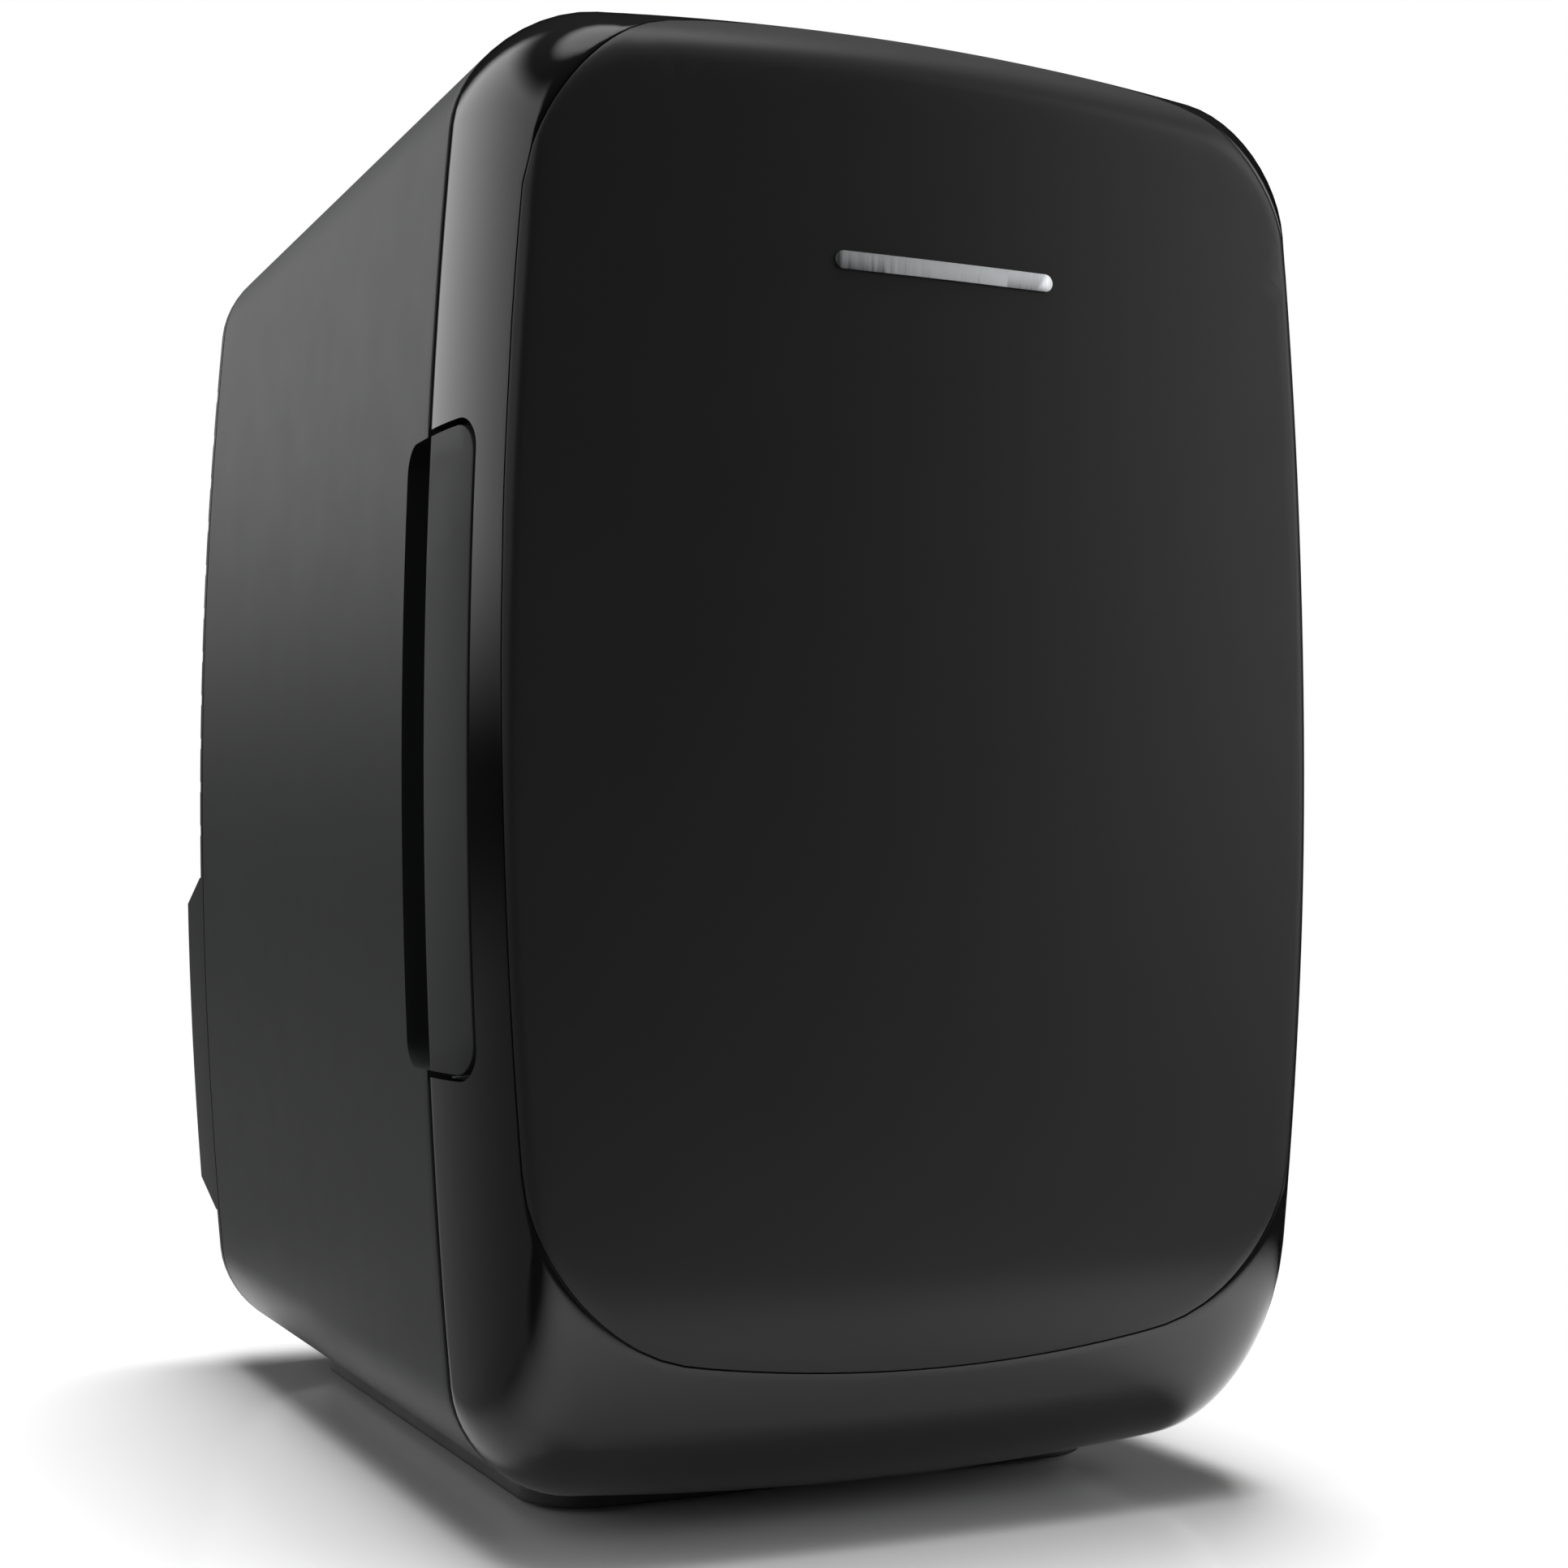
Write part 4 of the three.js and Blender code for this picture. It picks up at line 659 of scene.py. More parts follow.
def extruded_aluminium():
    # Aluminium pushed through a die and clear anodised: soft grey metal with fine upright die lines.
    return metal("extruded_aluminium", "c9ccce", 0.34, 0.5, Z)


def zinc_plated_steel():
    # Steel with bright zinc plate: slightly bluish, with faint rolling marks.
    return metal("zinc_plated_steel", "b9bcc2", 0.3, 0.4, Z)


def clear_polystyrene():
    return clear_plastic("clear_polystyrene", "f1f6f7", 0.05)


def green_lamp_lens():
    return clear_plastic("green_lamp_lens", "23a850", 0.12, 1.49)


def red_lamp_lens():
    return clear_plastic("red_lamp_lens", "c02a1e", 0.12, 1.49)


SLOT_LOOK = {
    "satin_abs": satin_textured_abs,
    "piano_black_abs": piano_black_abs,
    "front_panel_acrylic": smoked_acrylic_sheet,
    "soft_grip": soft_touch_lacquer,
    "black_abs": moulded_black_abs,
    "liner_plastic": wipe_clean_polystyrene,
    "foam": poured_polyurethane_foam,
    "rubber": moulded_nitrile_rubber,
    "aluminium": extruded_aluminium,
    "steel": zinc_plated_steel,
    "ceramic": fired_alumina,
    "board": solder_masked_laminate,
    "clear_plastic": clear_polystyrene,
    "lamp_green": green_lamp_lens,
    "lamp_red": red_lamp_lens,
}
made_finishes = {}


def finish(maker):
    """The material that a maker makes, made once."""
    if maker not in made_finishes:
        made_finishes[maker] = maker()
    return made_finishes[maker]


def dress(node):
    """Gives a CAD node that stays its finish."""
    mesh = frame["nodes"][node].data
    mesh.materials.clear()
    mesh.materials.append(finish(SLOT_LOOK[NODE_SLOT[node]]))


# ------------------------------------------------------------------ the door's surface
def door_ring(turn, inset=0.0, face=1.0):
    """A ring of the door's skin, as an array. Turn runs from 0 at the seam to a right angle at the
    front's rim, and face shrinks the rim towards the middle of the front."""
    points = body_outline(inset)
    half_width, half_height = HALF_WIDTH - inset, HEIGHT / 2 - inset
    x, z = points[:, 0], points[:, 1] - MID_Z
    roll = 1 - np.cos(turn)
    up = np.clip(z / half_height + 0.5, 0, 1)
    up = up * up * (3 - 2 * up)
    roll_end = ROLL_BOTTOM + (ROLL_TOP - ROLL_BOTTOM) * up
    px = x * (1 - ROLL_SIDE * roll / half_width) * face
    pz = z * (1 - roll_end * roll / half_height) * face
    crown = CROWN_X * (1 - (px / half_width) ** 2) + CROWN_Z * (1 - (pz / half_height) ** 2)
    depth = np.maximum((DOOR_EDGE - inset + crown) * np.sin(turn), 0)
    return np.stack([px, SEAM_Y - depth, pz + MID_Z], 1)


def door_skin(path, inset=0.0):
    """A ring at a place on the path from the seam (0) over the front's rim (1) to the middle (2).
    The place may differ from point to point."""
    path = np.asarray(path, float)
    return door_ring(np.minimum(path, 1) * math.pi / 2, inset, 2 - np.maximum(path, 1))


def crossing(target):
    """For each point of the door's rings, the place on its path where it crosses a flat outline."""
    shape = target - np.array([0, PANEL_MID_Z])
    angles = np.arctan2(shape[:, 1], shape[:, 0])
    order = np.argsort(angles)
    radii = np.hypot(shape[:, 0], shape[:, 1])[order]
    low, high = np.zeros(len(target)), np.full(len(target), 1.9)
    for _ in range(40):
        middle = (low + high) / 2
        ring = door_skin(middle)
        x, z = ring[:, 0], ring[:, 2] - PANEL_MID_Z
        edge = np.interp(np.arctan2(z, x), angles[order], radii, period=2 * math.pi)
        outside = np.hypot(x, z) > edge
        low, high = np.where(outside, middle, low), np.where(outside, high, middle)
    return (low + high) / 2


def as_rings(arrays):
    return [[Vector(point) for point in array] for array in arrays]


def sunk(ring, depth):
    """A ring moved straight back into the door."""
    return ring + np.array([0, depth, 0])


def door_solid(inset=0.0, back=SEAM):
    """The door's whole solid, from its flat back to the middle of the front."""
    paths = np.concatenate([np.linspace(0, 1, 25), np.linspace(1.08, 1.98, 14)])
    skins = [door_skin(path, inset) for path in paths]
    for skin in skins:
        skin[:, Y] = np.minimum(skin[:, Y], SEAM_Y - back)
    return loft(as_rings(skins), cap_start=True, pole_end=True)


def grip_prism(grow):
    """The grip's outline seen from the side, carried across the door's left edge."""
    front, low, high = GRIP_LOW.y - grow, GRIP_LOW.z - grow, GRIP_HIGH.z + grow
    corners = [(SEAM_Y + 5 * MM, high), (front, high), (front, low), (SEAM_Y + 5 * MM, low)]
    shape = softened(corners, [0, GRIP_CORNER, GRIP_CORNER, 0], 10)
    return prism(shape, X, -HALF_WIDTH - 20 * MM, GRIP_HIGH.x + grow)


# ------------------------------------------------------------------ hinge geometry on both sides of the seam
def hinge_relief():
    """A spindle round the hinge axis that both edges of the seam are cut back to."""
    reach = HEIGHT / 2 - CORNER
    profile = [(0.0, -reach)]
    for k in np.linspace(-0.98, 0.98, 40):
        along = k * reach
        edge = HALF_WIDTH - BOW_SIDE * (along / (HEIGHT / 2 - BOW_END)) ** 2
        over = max(0.0, edge - HINGE_X + 2 * FIT)
        profile.append((1.8 * over + FIT, along))
    profile.append((0.0, reach))
    return turned(profile, (HINGE_X, SEAM_Y, MID_Z), Z, 64)


def hinge_block(side, start=SEAM, grow=0.0):
    """The solid land that carries a hinge leaf: side 1 in the cabinet, -1 in the door."""
    y0, y1 = sorted((SEAM_Y + side * start, SEAM_Y + side * BLOCK_DEPTH[side] + side * grow))
    low, high = HINGE_BLOCK_Z
    return slab((HINGE_BLOCK_X - grow, y0, BASE_Z + low - grow), (HALF_WIDTH + OUTSIDE, y1, BASE_Z + high + grow))


def leaf_seat(side):
    """The shallow seat for a hinge leaf."""
    low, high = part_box("hinge_leaf_cabinet")
    y0, y1 = sorted((SEAM_Y - side * 2 * MM, SEAM_Y + side * (SEAM + LEAF_THICK + FIT)))
    return slab((low.x - FIT, y0, low.z - FIT), (HINGE_X, y1, high.z + FIT))


def plate_seats(nodes, grow=FIT):
    """Pockets round the small plates that hold the door shut."""
    pockets = []
    for node in nodes:
        low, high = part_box(node)
        reach = Vector((grow, grow, grow))
        pockets.append(slab(low - reach, high + reach))
    return joined(*pockets)


# ------------------------------------------------------------------ cabinet
def recess_block(grow=0.0):
    """The solid block that the finger recess is sunk in."""
    wall = RECESS_WALL + grow
    return slab(
        (-HALF_WIDTH - OUTSIDE, SEAM_Y, GRIP_LOW.z - wall),
        (-HALF_WIDTH + RECESS_REACH + wall, SEAM_Y + RECESS_DEPTH + wall, GRIP_HIGH.z + wall),
    )


def cover_screw_places():
    return [middle(f"cover_screw_{where}") for where in CORNERS]


def cabinet_shell(edge):
    """The bowed shell with its finger recess, hinge land and screw posts. Edge is the seam's radius."""
    front, back = SHELL_LOW.y, SHELL_HIGH.y
    outer = [np.linspace(front + 3 * MM, front + 21 * MM, 7), np.linspace(front + 33 * MM, back - edge, 14)]
    inner = [[back], np.linspace(back - 12 * MM, front + 15 * MM, 12), [front]]
    rings = []
    for angle in np.radians(np.linspace(0, 90, 5)):
        rings.append(at_y(body_outline(edge * (1 - math.sin(angle))), front + edge * (1 - math.cos(angle))))
    rings += [at_y(body_outline(), y) for y in np.concatenate(outer)]
    rings.append(at_y(body_outline(edge), back))
    rings += [at_y(body_outline(SHELL_WALL), y) for y in np.concatenate(inner)]
    shell = loft(rings, closed=True)
    blocks = common(joined(recess_block(), hinge_block(1)), plug(0.02 * MM, front, SEAM_Y + 30 * MM))
    posts, pilots = [], []
    for place in cover_screw_places():
        posts.append(rod(5 * MM, back - 16 * MM, back - 0.2 * MM, place, edge=0.4 * MM))
        pilots.append(rod(1.5 * MM, back - 13 * MM, back + 1 * MM, place, steps=20))
    deep, low, high = SEAM_Y + RECESS_DEPTH, GRIP_LOW.z, GRIP_HIGH.z
    corners = [(front - 2 * MM, low), (deep, low), (deep, high), (front - 2 * MM, high)]
    mouth = softened(corners, [0, RECESS_CORNER, RECESS_CORNER, 0], 10)
    scoop = prism(mouth, X, -HALF_WIDTH - 15 * MM, -HALF_WIDTH + RECESS_REACH)
    shell = unite(shell, blocks, joined(*posts))
    shell = cut(shell, scoop, hinge_relief(), leaf_seat(1), joined(*pilots))
    piece("cabinet_shell_moulding", shell, "cabinet_shell")


def front_frame():
    """The black ring that joins shell and liner round the doorway."""
    front, back = SHELL_LOW.y, SHELL_LOW.y + FRAME_THICK
    outer, edge = SHELL_WALL + FIT, 0.3 * MM
    hole = window(LINER_HIGH.x + FIT, LINER_Z[0] - LINER_WALL - FIT, LINER_Z[1] + LINER_WALL + FIT, 12.3 * MM)
    ring = loft([
        at_y(body_outline(outer), back), at_y(body_outline(outer), front + edge),
        at_y(body_outline(outer + edge), front), at_y(hole, front), at_y(hole, back),
    ], closed=True)
    ring = cut(ring, recess_block(FIT), hinge_block(1, 0.0, FIT), plate_seats(STRIKES))
    piece("doorway_frame", ring, "front_frame")


def strike_plates():
    for node in STRIKES:
        low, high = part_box(node)
        piece(f"{node}_stamping", slab(low, high, 0.2 * MM), node)


def inner_liner():
    """The drawn food liner: a deep tub with an eased rim, coved corners and two shelf rails."""
    half, depth = LINER_HIGH.x - LINER_WALL, SEAM_Y + LINER_DEPTH
    wall, cove, front, port_half = LINER_WALL, 7 * MM, LINER_LOW.y, 22 * MM

    def tub(inset, y):
        return at_y(window(half - inset, LINER_Z[0] + inset, LINER_Z[1] - inset, LINER_CORNER - inset), y)

    rings = [tub(-wall + 1.5 * MM, depth + wall), tub(-wall, depth + wall - 1.5 * MM), tub(-wall, front + 0.4 * MM)]
    for angle in np.radians((20, 50, 90, 130, 160)):
        rings.append(tub(-wall / 2 - math.cos(angle) * wall / 2, front + 0.6 * MM * (1 - math.sin(angle))))
    rings += [tub(0, front + 0.8 * MM)] + [tub(0, y) for y in np.linspace(front + 10 * MM, depth - cove, 8)]
    for angle in np.radians(np.linspace(15, 90, 6)):
        rings.append(tub(cove * (1 - math.cos(angle)), depth - cove * (1 - math.sin(angle))))
    liner = loft(rings, cap_start=True, cap_end=True)
    rails, rail_y, rail_z = [], (SEAM_Y + 14 * MM, SEAM_Y + 128 * MM), (BASE_Z + 145 * MM, BASE_Z + 148 * MM)
    for side in (-1, 1):
        x0, x1 = sorted((side * (half + 1 * MM), side * (half - 4 * MM)))
        rails.append(slab((x0, rail_y[0], rail_z[0]), (x1, rail_y[1], rail_z[1]), 1.2 * MM, segments=4))
    start, end = depth - 1 * MM, depth + 9 * MM
    port = slab((-port_half, start, VENT_Z - port_half), (port_half, end, VENT_Z + port_half), 0, Y, 2 * MM)
    pilots = [rod(1.6 * MM, start, end, (x, 0, VENT_Z), steps=16) for x in COLD_SCREW_X]
    liner = cut(unite(liner, joined(*rails)), joined(port, *pilots))
    piece("food_liner_tub", liner, "inner_liner")


def shelf():
    """The clear lift-out shelf: a slotted plate with a raised front lip."""
    low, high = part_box("shelf")
    top, count, border = low.z + 2.6 * MM, 7, 9 * MM
    plate = slab(low, (high.x, high.y, top), 0.5 * MM, Z, 5 * MM)
    lip_low = (low.x + 5 * MM, low.y, low.z + 0.6 * MM)
    lip = slab(lip_low, (high.x - 5 * MM, low.y + 2 * MM, high.z), 0.8 * MM, Y, 1.5 * MM)
    span = (high.x - low.x - 2 * border) / count
    slots = []
    for i in range(count):
        across = low.x + border + span * (i + 0.5)
        hole = rounded_rect(across - 3 * MM, across + 3 * MM, low.y + 10 * MM, high.y - 10 * MM, 2.9 * MM)
        slots.append(prism(hole, Z, low.z - 1 * MM, top + 1 * MM))
    piece("lift_out_shelf", cut(unite(plate, lip), joined(*slots)), "shelf")


def plinth_and_feet():
    """The plinth, hollowed below and shaped to the cabinet's belly, on four turned rubber feet."""
    low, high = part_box("base_plinth")
    bottom = low.z
    block = slab(low, (high.x, high.y, BASE_Z + BOW_END), 0, Z, 14 * MM)
    lowest = [e for e in sharp_edges(block, 50) if all(abs(v.co.z - bottom) < 0.01 * MM for v in e.verts)]
    bevel(block, lowest, 0.8 * MM, 3)
    belly = plug(-FIT, SEAM_Y, COVER_HIGH.y + 10 * MM)
    mouth = rounded_rect(-34 * MM, 34 * MM, low.y + 14 * MM, high.y - 14 * MM, 6 * MM)
    well = prism(mouth, Z, bottom - 1 * MM, bottom + 2 * MM)
    foot = [(0, 0.35), (4.6, 0.35), (5.0, 0.0), (7.0, 0.0), (7.6, 0.25), (8.0, 0.9)]
    foot += [(7.9, 2.9), (7.5, 3.0), (0, 3.0)]
    pockets = []
    for node in FEET:
        place = middle(node)
        pockets.append(rod(8.3 * MM, bottom - 1 * MM, 3.3 * MM, place, Z))
        pad = turned([(r * MM, a * MM) for r, a in foot], (place.x, place.y, 0), Z, 48)
        piece(f"{node}_pad", pad, node)
    piece("plinth_block", cut(block, belly, well, joined(*pockets)), "base_plinth")


# ------------------------------------------------------------------ back cover
def hump_prism(inset, radius):
    """The service hump's side profile, carried across the back."""
    low, high = HUMP_Z[0] + inset, HUMP_Z[1] - inset
    root, crest = COVER_BACK - 2 * inset - 2 * MM, HUMP_BACK - inset
    corners = [
        (root, low), (COVER_BACK, low), (crest, low + HUMP_SLOPE), (crest, high - HUMP_SLOPE), (COVER_BACK, high),
        (root, high),
    ]
    return prism(softened(corners, [0, 0, radius, radius, 0, 0], 5), X, -HALF_WIDTH * 2, HALF_WIDTH * 2)


def rimmed_block(front, back, edge, inset=0.0):
    """A plug of the body's outline whose rear rim is rounded."""
    rings = [at_y(body_outline(inset), y) for y in (front, back - edge)]
    for angle in np.radians((22.5, 45, 67.5, 90)):
        rings.append(at_y(body_outline(inset + edge * (1 - math.cos(angle))), back - edge * (1 - math.sin(angle))))
    return loft(rings, cap_start=True, cap_end=True)


def louvre_tools():
    """The horizontal grooves across the back, and the air slots sunk in their floors."""
    grooves, slots = [], []
    for i in range(LOUVRES):
        z = VENT_Z + (i - (LOUVRES - 1) / 2) * LOUVRE_PITCH
        outer, floor = COVER_BACK + 0.5 * MM, COVER_BACK - LOUVRE_DEPTH
        corners = [(outer, z - 2.6 * MM), (floor, z - 1.1 * MM), (floor, z + 1.1 * MM), (outer, z + 2.6 * MM)]
        grooves.append(prism(softened(corners, [0, 0.5 * MM, 0.5 * MM, 0], 3), X, -HALF_WIDTH * 2, HALF_WIDTH * 2))
        for x0, x1 in ((-68, -46), (-38, 38), (46, 68)):
            hole = rounded_rect(x0 * MM, x1 * MM, z - 1 * MM, z + 1 * MM, 0.95 * MM, 4)
            slots.append(prism(hole, Y, COVER_BACK - 6 * MM, COVER_BACK - 1 * MM))
    return joined(*grooves), joined(*slots)


def back_cover(edge):
    """The louvred cover with its hump, lip and screw holes. Edge is the rim's radius."""
    front = COVER_LOW.y + 4 * MM
    plate = rimmed_block(front, COVER_BACK, edge)
    hump = common(rimmed_block(front, HUMP_BACK + edge / 2, edge * 1.5), hump_prism(0.0, 2 * MM))
    hollow = common(plug(HUMP_WALL, front - 6 * MM, HUMP_BACK), hump_prism(HUMP_WALL, 1 * MM))
    root, tip = front + 0.5 * MM, front - 4 * MM
    section = [(FIT, root), (FIT, front - 3.6 * MM), (0.7 * MM, tip), (1.8 * MM, tip), (1.8 * MM, root)]
    lip = loft([at_y(body_outline(SHELL_WALL + inset), y) for inset, y in section], closed=True)
    gaps, holes = [], []
    for place in cover_screw_places():
        gaps.append(rod(5.3 * MM, front - 5 * MM, front - FIT / 2, place))
        holes.append(rod(1.9 * MM, front - 1 * MM, COVER_BACK - 1.55 * MM, place, steps=24))
        holes.append(rod(3.4 * MM, COVER_BACK - 1.6 * MM, COVER_BACK + 1 * MM, place, steps=40))
    for node in FAN_SCREWS:
        holes.append(rod(1.9 * MM, front - 1 * MM, front + 2.8 * MM, middle(node), steps=20))
    cover = unite(plate, hump, cut(lip, joined(*gaps)))
    grooves, slots = louvre_tools()
    cover = cut(cover, hollow, grooves, slots, joined(*holes), joined(*service_holes()))
    piece("back_cover_moulding", cover, "back_cover")


def service_holes():
    """The openings in the hump for the two inlets, the switch and the lamps."""
    y0, y1 = HUMP_BACK - HUMP_WALL - 1 * MM, HUMP_BACK + 1 * MM
    holes = []
    for node, border in (("mains_inlet", 2.2), ("low_voltage_inlet", 2.2), ("switch_bezel", 1.6)):
        low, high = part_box(node)
        give = border * MM - FIT
        holes.append(slab((low.x + give, y0, low.z + give), (high.x - give, y1, high.z - give)))
    for node in LAMPS:
        holes.append(rod(2.3 * MM, y0, y1, middle(node)))
    return holes


# ------------------------------------------------------------------ fittings on the hump
def inlets():
    """The two inlets: a flange, a body with a flared well, and two contact pins in each."""
    for node, name, mouth_x, mouth_z, corner, chamfer in (
        ("mains_inlet", "mains_inlet_socket", 7.6 * MM, 3.9 * MM, 3.85 * MM, 0.6 * MM),
        ("low_voltage_inlet", "low_voltage_socket", 8.2 * MM, 4.6 * MM, 1.5 * MM, 0.4 * MM),
    ):
        low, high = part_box(node)
        x, border, face = (low.x + high.x) / 2, 2.2 * MM, high.y
        flange = slab((low.x, face - 1 * MM, low.z), high, 0.35 * MM, Y, 2 * MM)
        body_high = (high.x - border, face - 0.5 * MM, high.z - border)
        body = slab((low.x + border, low.y, low.z + border), body_high, 0.5 * MM)
        floor = face - 12 * MM
        well = rounded_rect(x - mouth_x, x + mouth_x, SERVICE_Z - mouth_z, SERVICE_Z + mouth_z, corner, 10)
        flare = [(a + math.copysign(chamfer, a - x), b + math.copysign(chamfer, b - SERVICE_Z)) for a, b in well]
        levels = ((well, floor), (well, face - chamfer), (flare, face + 0.02 * MM), (flare, face + 1 * MM))
        rings = [[Vector((a, y, b)) for a, b in points] for points, y in levels]
        pins = []
        for pin in (node.replace("_inlet", "_pin_left"), node.replace("_inlet", "_pin_right")):
            low_pin, high_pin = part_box(pin)
            place, radius = middle(pin), (high_pin.x - low_pin.x) / 2
            pins.append(rod(radius + FIT, low_pin.y - FIT, floor + 1 * MM, place, steps=24))
            piece(f"{pin}_contact", rod(radius, low_pin.y, high_pin.y, place, steps=32, edge=0.5 * MM), pin)
        socket = cut(unite(flange, body), loft(rings, cap_start=True, cap_end=True), joined(*pins))
        piece(name, socket, node)


def switch():
    """The switch housing and its rocker, a hollow-faced paddle on a round axle."""
    low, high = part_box("switch_bezel")
    face, edge, wall = high.y, 1.6 * MM, 2 * MM
    x, half, tall = (low.x + high.x) / 2, 5.6 * MM, 9.4 * MM
    flange = slab((low.x, face - 1 * MM, low.z), high, 0.35 * MM, Y, 2 * MM)
    body = slab((low.x + edge, low.y, low.z + edge), (high.x - edge, face - 0.5 * MM, high.z - edge), 0.4 * MM)
    gap = 0.5 * MM
    well = slab(
        (x - half - gap, face - 1 * MM - 10.5 * MM, SERVICE_Z - tall - gap),
        (x + half + gap, face + 1 * MM, SERVICE_Z + tall + gap), 0, Y, 0.6 * MM,
    )
    axle = rocker_axis()
    pivots = rod(1.3 * MM, x - half - wall + 0.4 * MM, x + half + wall - 0.4 * MM, axle, X, 24)
    piece("switch_housing", cut(unite(flange, body), well, pivots), "switch_bezel")
    low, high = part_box("mode_rocker")
    reach, crest = high.z - SERVICE_Z, high.y
    paddle = [(crest, SERVICE_Z - reach), (crest - 1.6 * MM, SERVICE_Z), (crest, SERVICE_Z + reach)]
    paddle += [(axle.y + 0.6 * MM, SERVICE_Z + reach - 0.4 * MM)]
    paddle += arc((axle.y, SERVICE_Z), 4.2 * MM, 120, 240, 12)
    paddle += [(axle.y + 0.6 * MM, SERVICE_Z - reach + 0.4 * MM)]
    corner = [0.5 * MM, 4 * MM, 0.5 * MM, 0.4 * MM] + [0] * 13 + [0.4 * MM]
    shape = softened(paddle, corner, 6)
    rocker = prism(shape, X, x - half, x + half)
    rims = [e for e in sharp_edges(rocker, 70) if abs(e.verts[0].co.x - e.verts[1].co.x) < 0.001 * MM]
    bevel(rocker, rims, 0.3 * MM, 2)
    axles = rod(1.2 * MM, x - half - 1.2 * MM, x + half + 1.2 * MM, axle, X, 24, 0.3 * MM)
    piece("mode_rocker_paddle", unite(rocker, axles), "mode_rocker")


def rocker_axis():
    joint = next(j for j in frame["record"]["behaviour"]["joints"] if j["name"] == "mode_switch")
    return Vector(joint["pos_m"])


def lamps():
    """The two lamp lenses: a collar behind the hump's wall and a domed tip."""
    r, rim, collar = 2 * MM, 3 * MM, HUMP_BACK - HUMP_WALL - FIT
    for node in LAMPS:
        low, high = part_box(node)
        place, top = middle(node), high.y
        place.y = 0
        profile = [(0, low.y), (r - 0.3 * MM, low.y), (r, low.y + 0.3 * MM), (r, collar - 1 * MM)]
        profile += [(rim, collar - 1 * MM), (rim, collar), (r, collar), (r, top - 0.9 * MM)]
        profile += [(1.85 * MM, top - 0.5 * MM), (1.4 * MM, top - 0.2 * MM), (0.8 * MM, top - 0.05 * MM), (0, top)]
        piece(f"{node}_lens", turned(profile, place, Y, 32), node)


# ------------------------------------------------------------------ cooling unit
def cold_plate():
    """The anodised plate on the liner's back wall, with a raised rim and two countersinks."""
    low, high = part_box("cold_plate")
    plate = slab(low, high, 0.3 * MM, Y, 5 * MM)
    rim = 4 * MM
    inner_high = (high.x - rim, low.y + 0.35 * MM, high.z - rim)
    inner = slab((low.x + rim, low.y - 1 * MM, low.z + rim), inner_high, 0, Y, 3 * MM)
    holes = [rod(1.9 * MM, low.y - 1 * MM, high.y + 1 * MM, (x, 0, VENT_Z)) for x in COLD_SCREW_X]
    piece("cold_plate_sheet", cut(plate, inner, joined(*holes)), "cold_plate")


def core_blocks():
    """The spacer block, the cooling module with its row of edge pellets, and the board's parts."""
    piece("cold_spacer_block", slab(*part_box("cold_block"), 0.4 * MM), "cold_block")
    low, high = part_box("peltier_module")
    wafer, ease, count = 0.9 * MM, 0.12 * MM, 14
    parts = [slab(low, (high.x, low.y + wafer, high.z), ease), slab((low.x, high.y - wafer, low.z), high, ease)]
    pitch = (high.x - low.x) / count
    pellet = Vector((pitch - 1 * MM, high.y - low.y - 1.7 * MM, pitch - 1 * MM))
    for i in range(count):
        for k in range(count):
            if i in (0, count - 1) or k in (0, count - 1):
                corner = (low.x + i * pitch + 0.5 * MM, low.y + 0.85 * MM, low.z + k * pitch + 0.5 * MM)
                parts.append(slab(corner, Vector(corner) + pellet))
    piece("peltier_sandwich", joined(*parts), "peltier_module")
    low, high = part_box("circuit_board")
    board, inset = slab(low, high, 0.15 * MM, Y, 1.5 * MM), 4 * MM
    corners = [(x, 0, z) for x in (low.x + inset, high.x - inset) for z in (low.z + inset, high.z - inset)]
    holes = [rod(1.6 * MM, low.y - 1 * MM, high.y + 1 * MM, corner, steps=24) for corner in corners]
    piece("power_board", cut(board, joined(*holes)), "circuit_board")
    low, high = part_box("transformer")
    core = slab((low.x, high.y - 17 * MM, low.z), high, 0.5 * MM)
    coil_high = (high.x - 4 * MM, high.y - 2 * MM, high.z - 4 * MM)
    coil = slab((low.x + 4 * MM, low.y, low.z + 4 * MM), coil_high, 2 * MM, segments=4)
    piece("transformer_stack", unite(core, coil), "transformer")
    for node in ("capacitor_left", "capacitor_right"):
        low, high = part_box(node)
        place, r, tall = middle(node), (high.x - low.x) / 2, high.y - low.y
        profile = [(0, 0.2 * MM), (r - 1.2 * MM, 0.2 * MM), (r - 1 * MM, 0), (r - 0.5 * MM, 0), (r, 0.6 * MM)]
        profile += [(r, tall - 3 * MM), (r - 0.5 * MM, tall - 2.4 * MM), (r, tall - 1.8 * MM), (r, tall - 0.4 * MM)]
        profile += [(r - 0.4 * MM, tall), (0, tall)]
        piece(f"{node}_can", turned(profile, (place.x, low.y, place.z), Y, 40), node)


def heat_sink():
    sink = copy_of("heat_sink")
    bevel(sink, sharp_edges(sink, 60), 0.18 * MM, 1)
    piece("heat_sink_extrusion", sink, "heat_sink")


